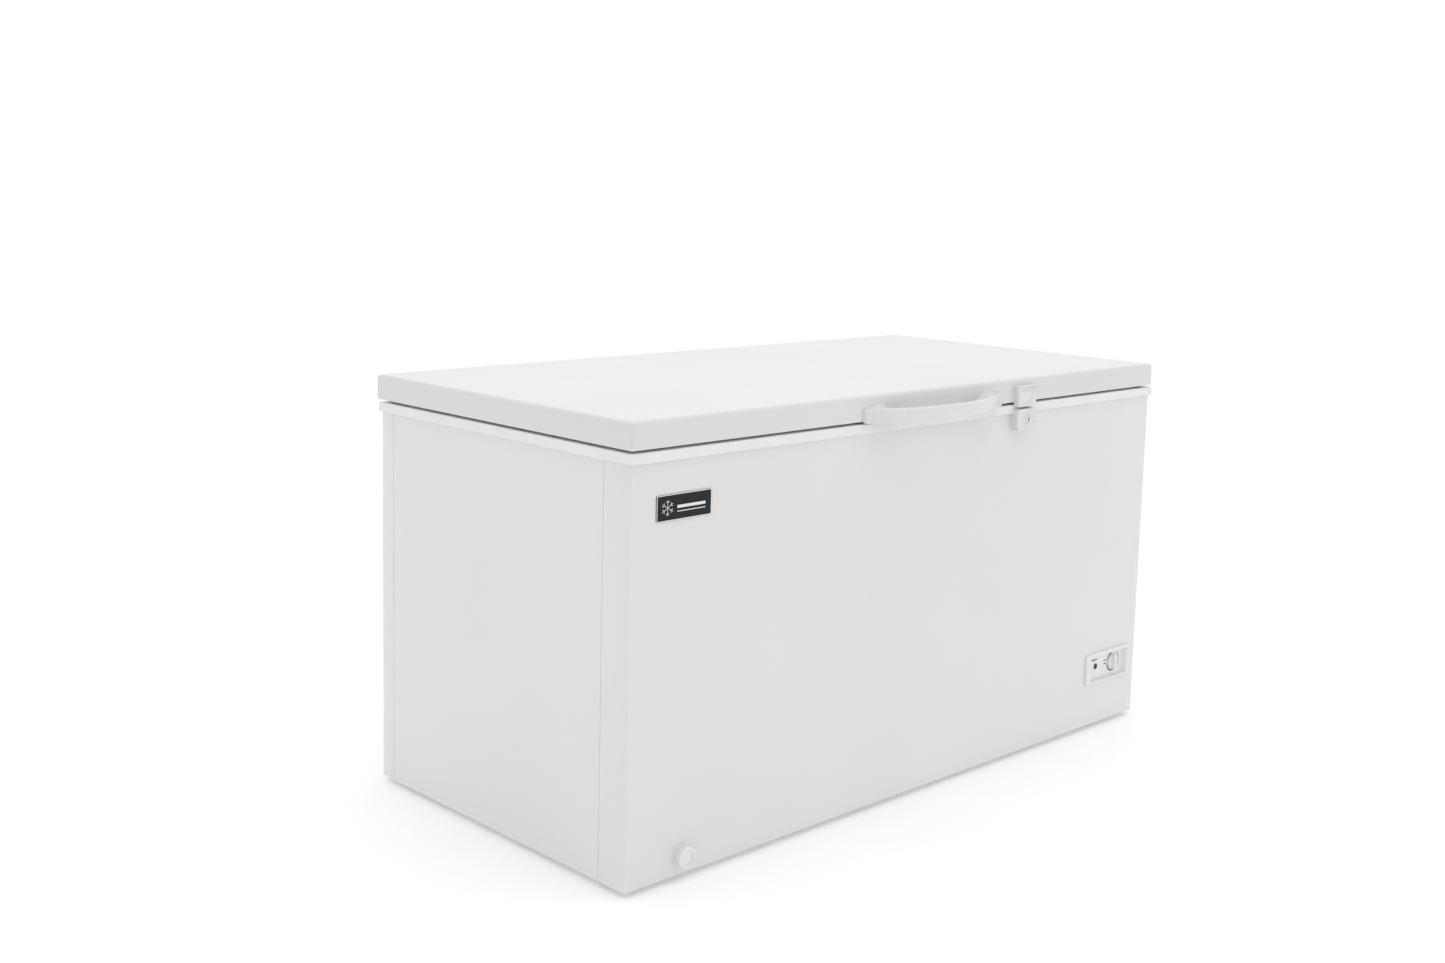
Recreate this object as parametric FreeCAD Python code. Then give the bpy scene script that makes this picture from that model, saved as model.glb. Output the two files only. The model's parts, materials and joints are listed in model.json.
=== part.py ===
import FreeCAD, Part
import math
import os

# Chest freezer with a solid hinged lid. Millimetres, +Z up, -Y is the front, X runs along the width.
# The origin is on the floor, at the middle of the overall width and of the overall depth.

# ---- Cabinet ----
body_width = 1495.0         # outer skin, left to right
body_depth = 722.0          # outer skin, front to rear
body_height = 715.0         # outer skin, bottom edge to the underside of the top trim
skin_thickness = 0.8        # painted steel sheet
front_return = 68.0         # the front panel wraps this far round onto each side
rear_return = 37.0          # the rear panel wraps this far round onto each side
seam_gap = 1.0              # open line between a side panel and a wrapped return
seam_flange = 14.0          # joggled edge of a side panel, tucked behind a return
wall = 70.0                 # outer skin to inner face of the liner, sides, front and rear
floor_wall = 70.0           # underside to the top of the liner floor
liner_thickness = 0.8
embed_clearance = 0.3       # room that the foam leaves round what is buried in it

# ---- Glide feet ----
foot_height = 10.0
foot_radius = 20.0
foot_inset = 90.0
foot_chamfer = 2.0

# ---- Top trim ----
trim_height = 18.5
trim_overhang = 5.0         # the trim stands this far outside the skin, all round
trim_wall = 3.0
trim_edge_radius = 2.5
ledge_width = 25.0          # inner step that carries the basket
ledge_drop = 10.0

# ---- Lid ----
lid_gap = 5.0               # trim top to the lid skirt's lower edge
lid_height = 46.5           # skirt height
lid_side_setback = 1.0      # the lid is this much narrower than the trim, each side
lid_rear_overhang = 9.0     # the lid runs this far behind the trim
lid_sheet = 0.8
lid_top_radius = 7.0
lid_corner_radius = 5.0
lid_liner_thickness = 2.0
lid_liner_recess = 1.0      # the inner lining sits this far up inside the skirt
lid_plug_depth = 8.0        # raised middle of the inner lining, reaching down into the cabinet
lid_plug_clearance = 8.0    # inside the trim's inner step
lid_plug_corner = 15.0
gasket_width = 22.0
gasket_setback = 15.0       # gasket's outer edge inside the trim's outer edge
gasket_clearance = 0.3      # gasket to trim when shut

# ---- Handle ----
handle_half_length = 190.0
handle_reach = 60.0         # lid face to the front of the bow
handle_height = 27.0
handle_drop = 4.0           # the bow hangs this far below the skirt's lower edge
handle_end_reach = 20.0     # bow's reach where the end caps start
handle_bar = 11.0           # bow's thickness at the middle
handle_pad = 42.0           # length of each end that is screwed to the lid
handle_pad_reach = 5.0      # the finger gap's depth beside a pad
handle_edge_radius = 3.0
handle_cap_length = 13.0
handle_screw_radius = 2.0
handle_screw_length = 14.0
handle_screw_spread = 165.0

# ---- Hinges ----
hinge_inset = 270.0         # cabinet side to the middle of a hinge
hinge_pivot_behind = 14.0   # lid's rear face to the pin's axis
hinge_pivot_above = 4.0     # skirt's lower edge to the pin's axis
hinge_pin_radius = 3.0
hinge_pin_clearance = 0.05
hinge_pin_head = 5.0
hinge_pin_head_length = 2.5
hinge_sheet = 3.0
hinge_ear_radius = 9.0
hinge_ear_gap = 41.0        # between the two ears
hinge_plate_width = 76.0
hinge_plate_height = 70.0
hinge_ear_height = 56.0     # ears' foot on the plate
hinge_barrel_radius = 7.5
hinge_barrel_length = 22.0
hinge_side_clearance = 0.4
hinge_leaf_width = 60.0
hinge_leaf_height = 36.0
hinge_trim_clearance = 1.5
spring_wire = 2.5
spring_bore_clearance = 0.4

# ---- Lock ----
lock_from_centre = 279.0
lock_width = 59.0
lock_height = 43.0
lock_above_skin = 10.0      # lock body's top edge above the trim's lower edge
lock_depth = 14.0           # in front of the trim
lock_corner_radius = 4.0
lock_cylinder_radius = 9.0
lock_cylinder_clearance = 0.1
lock_cylinder_offset = 5.0  # cylinder to the right of the lock body's middle
lock_cam_length = 31.0
lock_cam_width = 7.0
lock_cam_thickness = 3.0
lock_cam_slot_clearance = 1.0
lock_floor = 2.0            # lock body left behind the cam's slot
keyhole_width = 3.0
keyhole_height = 9.0
keyhole_depth = 6.0
hasp_height = 43.0
hasp_gap = 4.0              # hasp to lock body
hasp_slot_depth = 12.0
hasp_slot_width = 40.0
hasp_slope = 9.0            # drop of the hasp's sloped top

# ---- Badge ----
badge_width = 122.0
badge_height = 44.0
badge_thickness = 1.6
badge_from_side = 53.5
badge_from_top = 56.0
badge_corner_radius = 3.0

# ---- Control panel ----
panel_width = 162.5
panel_height = 68.0
panel_from_side = 26.5
panel_from_bottom = 92.0
panel_proud = 5.0
panel_corner_radius = 7.0
panel_rim_left = 17.0
panel_rim_right = 6.0
panel_rim_top = 8.0
panel_rim_bottom = 4.0
panel_recess = 9.0          # bezel face to the recess floor
panel_draft = 6.0           # how much the recess's right side leans in
panel_wall = 2.0
panel_cut_clearance = 0.5
lamp_from_left = 45.5
lamp_radius = 6.2
lamp_proud = 1.5
lamp_round = 1.2
lamp_length = 14.0
lamp_clearance = 0.1
knob_from_left = 110.5
knob_from_bottom = 35.0
knob_radius = 16.5
knob_skirt = 3.0
knob_height = 11.0
knob_grip_width = 9.0
knob_lift = 0.4
knob_wall = 1.5
spindle_radius = 3.0
spindle_length = 30.0
spindle_clearance = 0.08
thermostat_width = 42.0
thermostat_depth = 24.0
thermostat_height = 36.0

# ---- Drain ----
drain_from_side = 126.5
drain_from_bottom = 33.0
drain_from_front = 110.0    # cabinet front to the hole in the cabinet's floor
drain_tube_radius = 11.0
drain_tube_bore = 9.0
drain_bend = 22.0
drain_collar_radius = 21.0
drain_collar_thickness = 3.0
drain_cap_radius = 18.5
drain_cap_length = 12.0
drain_cap_dish_radius = 13.5
drain_cap_dish_depth = 2.0
drain_stem_length = 16.0
drain_fit = 0.3
bung_flange_radius = 15.0
bung_flange_thickness = 3.0
bung_grip = 12.0
bung_stem_length = 18.0

# ---- Compressor bay and cooling system ----
bay_width = 300.0           # inside the right-hand skin
bay_height = 240.0          # above the cabinet's bottom edge
bay_sheet = 1.0
bay_plate = 2.0
compressor_radius = 76.0
compressor_height = 168.0
compressor_from_rear = 190.0
compressor_foot_half = 62.0
compressor_foot_radius = 17.0
compressor_foot_thickness = 3.0
compressor_seam = 4.0       # width and height of the welded lip
compressor_dome_round = 38.0
compressor_base_round = 15.0
grommet_radius = 13.0
grommet_height = 16.0
relay_width = 64.0
relay_depth = 36.0
relay_height = 70.0
relay_stub = 12.0
tube_radius = 4.0
tube_bend = 24.0
evaporator_bend = 14.0
evaporator_pitch = 80.0
evaporator_riser_step = 45.0
evaporator_riser_inset = 120.0
condenser_pitch = 80.0
condenser_side_inset = 60.0
condenser_top_clear = 45.0
line_stub = 10.0
suction_height = 120.0
discharge_height = 150.0
dryer_radius = 10.0
dryer_length = 90.0
dryer_from_rear = 330.0
gland_radius = 11.0
gland_flange = 16.0
gland_length = 18.0
gland_bore = 5.0
gland_from_side = 60.0
gland_from_bottom = 60.0

# ---- Vents ----
grille_width = 220.0
grille_height = 130.0
grille_from_rear = 90.0
grille_from_bottom = 45.0
grille_proud = 2.5
grille_border = 10.0
grille_slot = 5.0
grille_pitch = 10.0
grille_spigot = 6.0
grille_fit = 0.5
rear_slot_width = 120.0
rear_slot_height = 6.0
rear_slot_pitch = 16.0
rear_slot_count = 8
rear_slot_from_side = 110.0
rear_slot_from_bottom = 60.0

# ---- Basket ----
basket_length = 300.0       # along X
basket_drop = 215.0         # rim to bottom wires
basket_wire = 2.0           # wire radius
basket_rim = 3.0            # rim wire radius
basket_wall_gap = 9.0       # basket's side to the liner
basket_end_gap = 8.0        # basket's end to the liner
basket_pitch = 47.0         # wanted distance between wires
basket_rest = 0.3           # rim to ledge
basket_weld = 0.6           # how far crossing wires sink into each other

# ---- Places that follow from the sizes above ----
z_body = foot_height
z_skin_top = z_body + body_height
z_trim_top = z_skin_top + trim_height
z_sheet_top = z_trim_top - trim_wall      # the skins run up inside the trim
z_lid = z_trim_top + lid_gap
z_lid_top = z_lid + lid_height
z_ledge = z_trim_top - ledge_drop
front_reach = trim_overhang + handle_reach
rear_reach = trim_overhang + lid_rear_overhang + hinge_pivot_behind + hinge_ear_radius
y_front = front_reach - (body_depth + front_reach + rear_reach) / 2
y_rear = y_front + body_depth
x_right = body_width / 2
x_left = -x_right
y_trim_front = y_front - trim_overhang
y_trim_rear = y_rear + trim_overhang
x_trim = x_right + trim_overhang
x_lid = x_trim - lid_side_setback
y_lid_front = y_trim_front
y_lid_rear = y_trim_rear + lid_rear_overhang
in_x = x_right - wall                     # liner's inner faces
in_y_front = y_front + wall
in_y_rear = y_rear - wall
z_floor = z_body + floor_wall
x_bay = x_right - skin_thickness - bay_width
z_bay = z_body + bay_height
x_step = x_bay - wall
z_step = z_bay + wall
y_pivot = y_lid_rear + hinge_pivot_behind
z_pivot = z_lid + hinge_pivot_above
hinge_places = (x_left + hinge_inset, x_right - hinge_inset)
x_knob = x_right - panel_from_side - panel_width + knob_from_left
z_knob = z_body + panel_from_bottom + knob_from_bottom
y_panel_floor = y_front - panel_proud + panel_recess
x_drain = x_left + drain_from_side
z_drain = z_body + drain_from_bottom
y_drain_hole = y_front + drain_from_front
x_compressor = x_bay + bay_width / 2
y_compressor = y_rear - compressor_from_rear

parallel_limit = 0.01       # sine of the angle within which an edge counts as parallel
X_AXIS = FreeCAD.Vector(1, 0, 0)
Y_AXIS = FreeCAD.Vector(0, 1, 0)
Z_AXIS = FreeCAD.Vector(0, 0, 1)


def box(x0, x1, y0, y1, z0, z1):
    """A box between two corners."""
    return Part.makeBox(x1 - x0, y1 - y0, z1 - z0, FreeCAD.Vector(x0, y0, z0))


def rod(start, end, radius):
    """A round bar between two points."""
    start, end = FreeCAD.Vector(*start), FreeCAD.Vector(*end)
    return Part.makeCylinder(radius, (end - start).Length, start, end - start)


def prism(points, travel):
    """A flat outline of 3-D points, pushed along a vector."""
    corners = [FreeCAD.Vector(*p) for p in points]
    return Part.Face(Part.makePolygon(corners + corners[:1])).extrude(travel)


def one(shapes):
    """Several overlapping solids as one clean solid."""
    return shapes[0].multiFuse(shapes[1:]).removeSplitter()


def rounded(shape, radius, direction=None, where=None):
    """Fillet the straight edges that run along a direction, or those that a test picks."""
    picked = []
    for edge in shape.Edges:
        if direction is not None:
            if edge.tangentAt(edge.FirstParameter).cross(direction).Length > parallel_limit:
                continue
        if where is None or where(edge.CenterOfMass):
            picked.append(edge)
    return shape.makeFillet(radius, picked)


def tube(points, radius, bend):
    """A round bar along straight runs that are joined by tangent arcs."""
    route = [FreeCAD.Vector(*p) for p in points]
    edges = []
    start = route[0]
    for here, corner, there in zip(route, route[1:], route[2:]):
        to_here = (here - corner).normalize()
        to_there = (there - corner).normalize()
        half_turn = (math.pi - to_here.getAngle(to_there)) / 2
        setback = bend * math.tan(half_turn)
        arc_start = corner + to_here * setback
        arc_end = corner + to_there * setback
        towards = (to_here + to_there).normalize()
        centre = corner + towards * (bend / math.cos(half_turn))
        arc_middle = centre - towards * bend
        edges.append(Part.LineSegment(start, arc_start).toShape())
        edges.append(Part.Arc(arc_start, arc_middle, arc_end).toShape())
        start = arc_end
    edges.append(Part.LineSegment(start, route[-1]).toShape())
    section = Part.Wire(Part.makeCircle(radius, route[0], route[1] - route[0]))
    return Part.Wire(edges).makePipeShell([section], True, True)


def save(name, *solids):
    """Write one node, as one solid or as a group of separate solids."""
    shape = solids[0] if len(solids) == 1 else Part.makeCompound(list(solids))
    shape.exportStep("parts/" + name + ".step")


# ---- Outer cabinet ----

def control_opening(clearance):
    """The hole that the control panel's tub passes through."""
    left = x_right - panel_from_side - panel_width + panel_rim_left - panel_wall
    right = x_right - panel_from_side - panel_rim_right + panel_wall
    bottom = z_body + panel_from_bottom + panel_rim_bottom - panel_wall
    top = z_body + panel_from_bottom + panel_height - panel_rim_top + panel_wall
    deep = y_front + panel_recess
    return box(left - clearance, right + clearance, y_front - panel_proud, deep,
               bottom - clearance, top + clearance)


def front_panel():
    """The front sheet, wrapped round onto both sides, with its two openings."""
    sheet = box(x_left, x_right, y_front, y_front + front_return, z_body, z_sheet_top)
    sheet = sheet.cut(box(x_left + skin_thickness, x_right - skin_thickness,
                          y_front + skin_thickness, y_front + front_return, z_body, z_sheet_top))
    sheet = sheet.cut(control_opening(panel_cut_clearance))
    return sheet.cut(rod((x_drain, y_front, z_drain), (x_drain, y_front + skin_thickness, z_drain),
                         drain_tube_radius + drain_fit))


def rear_panel():
    """The rear sheet, wrapped round onto both sides, slotted behind the compressor."""
    sheet = box(x_left, x_right, y_rear - rear_return, y_rear, z_body, z_sheet_top)
    sheet = sheet.cut(box(x_left + skin_thickness, x_right - skin_thickness,
                          y_rear - rear_return, y_rear - skin_thickness, z_body, z_sheet_top))
    slots = []
    for i in range(rear_slot_count):
        z = z_body + rear_slot_from_bottom + i * rear_slot_pitch
        slots.append(box(x_right - rear_slot_from_side - rear_slot_width, x_right - rear_slot_from_side,
                         y_rear - rear_return, y_rear, z, z + rear_slot_height))
    gland_x = x_right - gland_from_side
    gland_z = z_body + gland_from_bottom
    slots.append(rod((gland_x, y_rear - rear_return, gland_z), (gland_x, y_rear, gland_z),
                     gland_radius + drain_fit))
    return sheet.cut(slots)


def side_panel(outward):
    """A side sheet between the two wrapped returns, with its joggled edges tucked behind them."""
    y0 = y_front + front_return + seam_gap
    y1 = y_rear - rear_return - seam_gap
    face = x_right * outward
    inner = face - skin_thickness * outward
    deeper = inner - skin_thickness * outward
    sheet = box(min(face, inner), max(face, inner), y0, y1, z_body, z_sheet_top)
    back = (min(inner, deeper), max(inner, deeper))
    lap = seam_flange - seam_gap
    edges = [box(back[0], back[1], y0 - seam_flange, y0 + lap, z_body, z_sheet_top),
             box(back[0], back[1], y1 - lap, y1 + seam_flange, z_body, z_sheet_top)]
    return one([sheet] + edges)


def grille_place(border):
    """The y and z limits of the side vent, shrunk by a border."""
    y1 = y_rear - grille_from_rear - border
    y0 = y_rear - grille_from_rear - grille_width + border
    z0 = z_body + grille_from_bottom + border
    z1 = z_body + grille_from_bottom + grille_height - border
    return y0, y1, z0, z1


def side_panel_right():
    """The right side sheet, with the vent window beside the compressor."""
    y0, y1, z0, z1 = grille_place(grille_border - grille_fit)
    return side_panel(1).cut(box(x_right - wall, x_right, y0, y1, z0, z1))


def vent_grille():
    """Plastic louvre plate over the vent window, with a spigot that fits the window."""
    y0, y1, z0, z1 = grille_place(0)
    plate = box(x_right, x_right + grille_proud, y0, y1, z0, z1)
    plate = rounded(plate, grille_border / 2, X_AXIS)
    sy0, sy1, sz0, sz1 = grille_place(grille_border)
    spigot = box(x_right - grille_spigot, x_right, sy0, sy1, sz0, sz1)
    body = one([plate, spigot])
    slots = []
    z = sz0 + grille_slot
    while z + grille_slot < sz1:
        slots.append(box(x_right - grille_spigot, x_right + grille_proud,
                         sy0 + grille_slot, sy1 - grille_slot, z, z + grille_slot))
        z += grille_pitch
    return body.cut(slots)


def bottom_plate():
    """Steel sheet under the insulated floor, between the skins."""
    plate = box(x_left + skin_thickness, x_bay, y_front + skin_thickness, y_rear - skin_thickness,
                z_body, z_body + skin_thickness)
    return plate.cut(side_flange_space())


def side_flange_space():
    """What the side panels' tucked edges take up inside the returns."""
    deep = 2 * skin_thickness
    reach = front_return + seam_gap + seam_flange
    back = rear_return + seam_gap + seam_flange
    spaces = []
    for x0, x1 in ((x_left, x_left + deep), (x_right - deep, x_right)):
        spaces.append(box(x0, x1, y_front + front_return + seam_gap - seam_flange, y_front + reach,
                          z_body, z_sheet_top))
        spaces.append(box(x0, x1, y_rear - back, y_rear - rear_return - seam_gap + seam_flange,
                          z_body, z_sheet_top))
    return spaces


def compressor_plate():
    """Thicker plate that closes the bay's floor and carries the compressor."""
    plate = box(x_bay, x_right - skin_thickness, y_front + skin_thickness, y_rear - skin_thickness,
                z_body, z_body + bay_plate)
    return plate.cut(side_flange_space())


def bay_wall():
    """Upright sheet between the foam and the compressor bay."""
    return box(x_bay, x_bay + bay_sheet, y_front + skin_thickness, y_rear - skin_thickness,
               z_body + bay_plate, z_bay)


def bay_roof():
    """Flat sheet over the compressor bay."""
    roof = box(x_bay, x_right - skin_thickness, y_front + skin_thickness, y_rear - skin_thickness,
               z_bay, z_bay + bay_sheet)
    return roof.cut(side_flange_space())


def glide_feet():
    """Four low feet under the cabinet's bottom sheets."""
    feet = []
    for x in (x_left + foot_inset, x_right - foot_inset):
        for y in (y_front + foot_inset, y_rear - foot_inset):
            foot = rod((x, y, 0), (x, y, z_body), foot_radius)
            sole = [e for e in foot.Edges if e.CenterOfMass.z < foot_chamfer]
            feet.append(foot.makeChamfer(foot_chamfer, sole))
    return feet


# ---- Inner cabinet ----

def liner_sheets():
    """The seven flat sheets of the inner tank, inner faces on the wall lines."""
    t = liner_thickness
    top = z_ledge - trim_wall
    over_bay = box(x_step + t, in_x, in_y_front - t, in_y_rear + t, z_floor, z_step - t)
    floor = box(-in_x - t, x_step + t, in_y_front - t, in_y_rear + t, z_floor - t, z_floor)
    hole = rod((x_drain, y_drain_hole, z_floor - t), (x_drain, y_drain_hole, z_floor), drain_tube_bore)
    return {
        "liner_front": box(-in_x, in_x, in_y_front - t, in_y_front, z_floor, top).cut(over_bay),
        "liner_rear": box(-in_x, in_x, in_y_rear, in_y_rear + t, z_floor, top).cut(over_bay),
        "liner_left": box(-in_x - t, -in_x, in_y_front - t, in_y_rear + t, z_floor, top),
        "liner_right": box(in_x, in_x + t, in_y_front - t, in_y_rear + t, z_step, top),
        "liner_floor": floor.cut(hole),
        "liner_step_side": box(x_step, x_step + t, in_y_front, in_y_rear, z_floor, z_step - t),
        "liner_step_top": box(x_step, in_x + t, in_y_front, in_y_rear, z_step - t, z_step),
    }


def trim_section(at, outward, across):
    """Corner points of a hollow, stepped trim section; 'at' turns (across, height) into a 3-D point."""
    outer = across[0]
    step = across[1]
    inner = across[2]
    skin_line = outer - outward * (trim_overhang - embed_clearance)
    w = trim_wall * outward
    return [at(outer, z_skin_top), at(outer, z_trim_top), at(step, z_trim_top), at(step, z_ledge),
            at(inner, z_ledge), at(inner, z_ledge - trim_wall), at(step + w, z_ledge - trim_wall),
            at(step + w, z_trim_top - trim_wall), at(skin_line, z_trim_top - trim_wall),
            at(skin_line, z_skin_top)]


def mitre(side):
    """The wedge-shaped space that one of the four mitred trim rails may fill."""
    corners = {"front": ((-x_trim, y_trim_front), (x_trim, y_trim_front)),
               "rear": ((x_trim, y_trim_rear), (-x_trim, y_trim_rear)),
               "left": ((-x_trim, y_trim_rear), (-x_trim, y_trim_front)),
               "right": ((x_trim, y_trim_front), (x_trim, y_trim_rear))}[side]
    (ax, ay), (bx, by) = corners
    reach = trim_overhang + wall
    run = FreeCAD.Vector(bx - ax, by - ay, 0).normalize()
    inward = FreeCAD.Vector(-run.y, run.x, 0)
    a, b = FreeCAD.Vector(ax, ay, 0), FreeCAD.Vector(bx, by, 0)
    far = [b + (inward - run) * reach, a + (inward + run) * reach]
    return prism([(p.x, p.y, z_skin_top) for p in [a, b] + far], Z_AXIS * trim_height)


def trim_rail(side):
    """One straight length of the plastic top trim, mitred at both ends."""
    if side in ("front", "rear"):
        outward = 1 if side == "rear" else -1
        outer = y_trim_rear if side == "rear" else y_trim_front
        inner = in_y_rear if side == "rear" else in_y_front
        points = trim_section(lambda across, z: (-x_trim, across, z), outward,
                              (outer, inner + outward * ledge_width, inner))
        rail = prism(points, X_AXIS * 2 * x_trim)
    else:
        outward = 1 if side == "right" else -1
        outer = outward * x_trim
        inner = outward * in_x
        points = trim_section(lambda across, z: (across, y_trim_front, z), outward,
                              (outer, inner + outward * ledge_width, inner))
        rail = prism(points, Y_AXIS * (y_trim_rear - y_trim_front))
    rail = rail.common(mitre(side))

    def outer_edge(c):
        across = c.y if side in ("front", "rear") else c.x
        return abs(across - outer) < embed_clearance
    along = X_AXIS if side in ("front", "rear") else Y_AXIS
    return rounded(rail, trim_edge_radius, along, outer_edge)


def evaporator_standoff():
    """Liner's outer face to the tube's axis, so that the bends clear the liner's square corners."""
    inner_side = evaporator_bend - tube_radius - embed_clearance
    return evaporator_bend - inner_side / math.sqrt(2)


def evaporator_loops(right, levels, entry):
    """Cold tube from its entry, wound round the liner at the given heights, with risers between."""
    gap = liner_thickness + evaporator_standoff()
    left = -in_x - gap
    right = right + gap
    front = in_y_front - gap
    rear = in_y_rear + gap
    start = rear - evaporator_riser_inset
    points = [entry(right, start), (right, start, levels[0])]
    for z in levels:
        points += [(right, rear, z), (left, rear, z), (left, front, z), (right, front, z)]
        start -= evaporator_riser_step
        points.append((right, start, z))
        if z != levels[-1]:
            points.append((right, start, z + evaporator_pitch))
    return points


def evaporator_levels(low, high):
    """Heights of a winding's turns."""
    count = int((high - low) / evaporator_pitch - 1 / 2)
    return [low + evaporator_pitch * (i + 1 / 2) for i in range(count)]


def evaporator_routes():
    """Routes of the two windings: round the deep part of the tank and round the part over the step."""
    deep = evaporator_levels(z_floor, z_step)
    shallow = evaporator_levels(z_step, z_ledge)
    return [evaporator_loops(x_step, deep, lambda x, y: (x_bay, y, deep[0])),
            evaporator_loops(in_x, shallow, lambda x, y: (x, y, z_bay + bay_sheet))]


def condenser_route():
    """Warm tube from the bay's roof, zigzagging over the inside of the front sheet."""
    y = y_front + skin_thickness + embed_clearance + tube_radius
    here, there = x_right - condenser_side_inset, x_left + condenser_side_inset
    z = z_bay + condenser_pitch / 2
    points = [(here, y, z_bay + bay_sheet)]
    while z < z_skin_top - condenser_top_clear:
        points += [(here, y, z), (there, y, z)]
        here, there = there, here
        z += condenser_pitch
    return points


def drain_route():
    """From the tank floor down into the foam, then out through the front sheet."""
    return [(x_drain, y_drain_hole, z_floor - liner_thickness), (x_drain, y_drain_hole, z_drain),
            (x_drain, y_front - drain_collar_thickness, z_drain)]


def foam_insulation():
    """One poured block between the sheets, with room for the tubes that run in it."""
    s = skin_thickness
    t = liner_thickness
    top = z_ledge - trim_wall
    block = box(x_left + s, x_right - s, y_front + s, y_rear - s, z_body + s, top)
    bay = box(x_bay, x_right, y_front, y_rear, z_body, z_bay + bay_sheet)
    deep = box(-in_x - t, x_step + t, in_y_front - t, in_y_rear + t, z_floor - t, top)
    shallow = box(x_step, in_x + t, in_y_front - t, in_y_rear + t, z_step - t, top)
    block = block.cut([bay, deep, shallow] + side_flange_space())
    channel = tube_radius + 2 * embed_clearance
    for route in evaporator_routes():
        block = block.cut(tube(route, channel, evaporator_bend))
    block = block.cut(tube(condenser_route(), channel, tube_bend))
    return block.cut(tube(drain_route(), drain_tube_radius + embed_clearance, drain_bend))


# ---- Drain ----

def drain_tube():
    """Bent plastic tube, open at both ends."""
    points = drain_route()
    return tube(points, drain_tube_radius, drain_bend).cut(tube(points, drain_tube_bore, drain_bend))


def drain_collar():
    """Flat ring on the front sheet, round the tube's mouth."""
    ring = rod((x_drain, y_front, z_drain), (x_drain, y_front - drain_collar_thickness, z_drain),
               drain_collar_radius)
    return ring.cut(rod((x_drain, y_front, z_drain), (x_drain, y_front - drain_collar_thickness, z_drain),
                        drain_tube_radius + drain_fit))


def drain_cap():
    """Dished round cap, with a stem that plugs the tube."""
    y0 = y_front - drain_collar_thickness - embed_clearance
    y1 = y0 - drain_cap_length
    head = rod((x_drain, y0, z_drain), (x_drain, y1, z_drain), drain_cap_radius)
    head = rounded(head, drain_cap_dish_depth, None, lambda c: abs(c.y - y1) < embed_clearance)
    dish = rod((x_drain, y1, z_drain), (x_drain, y1 + drain_cap_dish_depth, z_drain), drain_cap_dish_radius)
    stem = rod((x_drain, y0, z_drain), (x_drain, y0 + drain_stem_length, z_drain),
               drain_tube_bore - drain_fit)
    return one([head.cut(dish), stem])


def drain_bung():
    """Rubber bung in the tank floor, with a finger grip on top."""
    z0 = z_floor + embed_clearance
    flange = rod((x_drain, y_drain_hole, z0), (x_drain, y_drain_hole, z0 + bung_flange_thickness),
                 bung_flange_radius)
    stem = rod((x_drain, y_drain_hole, z0 - bung_stem_length / 2), (x_drain, y_drain_hole, z0),
               drain_tube_bore - drain_fit)
    half = bung_flange_thickness / 2
    grip = box(x_drain - bung_flange_radius / 2, x_drain + bung_flange_radius / 2,
               y_drain_hole - half, y_drain_hole + half, z0, z0 + bung_flange_thickness + bung_grip)
    return one([flange, stem, grip])


# ---- Lid ----

def rounded_block(inset, bottom, top, top_radius, corner_radius):
    """The lid's outline, inset all round, with rounded corners and a rounded top edge."""
    block = box(-x_lid + inset, x_lid - inset, y_lid_front + inset, y_lid_rear - inset, bottom, top)
    block = rounded(block, corner_radius, Z_AXIS)
    return rounded(block, top_radius, None, lambda c: abs(c.z - top) < embed_clearance)


def lid_shell():
    """Painted steel tray, open underneath."""
    outside = rounded_block(0, z_lid, z_lid_top, lid_top_radius, lid_corner_radius)
    inside = rounded_block(lid_sheet, z_lid, z_lid_top - lid_sheet,
                           lid_top_radius - lid_sheet, lid_corner_radius - lid_sheet)
    return outside.cut([inside] + handle_screws(0))


def plug_limits(inset):
    """Plan limits of the lining's raised middle."""
    back = ledge_width - lid_plug_clearance + inset
    return (-in_x - ledge_width + back, in_x + ledge_width - back,
            in_y_front - ledge_width + back, in_y_rear + ledge_width - back)


def lid_liner():
    """Plastic inner lining with its shallow raised middle."""
    t = lid_liner_thickness
    z0 = z_lid + lid_liner_recess
    px0, px1, py0, py1 = plug_limits(0)
    qx0, qx1, qy0, qy1 = plug_limits(t)
    sheet = box(-x_lid + lid_sheet, x_lid - lid_sheet, y_lid_front + lid_sheet, y_lid_rear - lid_sheet,
                z0, z0 + t)
    sheet = rounded(sheet, lid_corner_radius - lid_sheet, Z_AXIS)
    plug = rounded(box(px0, px1, py0, py1, z0 - lid_plug_depth, z0 + t), lid_plug_corner, Z_AXIS)
    pocket = rounded(box(qx0, qx1, qy0, qy1, z0 - lid_plug_depth + t, z0 + t),
                     lid_plug_corner - t, Z_AXIS)
    return one([sheet, plug]).cut(pocket)


def lid_foam():
    """Foam that fills the lid between its tray and its lining."""
    t = lid_liner_thickness
    z0 = z_lid + lid_liner_recess
    block = rounded_block(lid_sheet, z0 + t, z_lid_top - lid_sheet,
                          lid_top_radius - lid_sheet, lid_corner_radius - lid_sheet)
    qx0, qx1, qy0, qy1 = plug_limits(t)
    plug = box(qx0, qx1, qy0, qy1, z0 - lid_plug_depth + t, z0 + t)
    foam = one([block, rounded(plug, lid_plug_corner - t, Z_AXIS)])
    return foam.cut(handle_screws(embed_clearance))


def lid_gasket():
    """Soft seal round the lid's underside, over the trim's flat top."""
    out = gasket_setback
    z0 = z_trim_top + gasket_clearance
    z1 = z_lid + lid_liner_recess
    ring = box(-x_trim + out, x_trim - out, y_trim_front + out, y_trim_rear - out, z0, z1)
    out += gasket_width
    return ring.cut(box(-x_trim + out, x_trim - out, y_trim_front + out, y_trim_rear - out, z0, z1))


# ---- Handle ----

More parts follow.
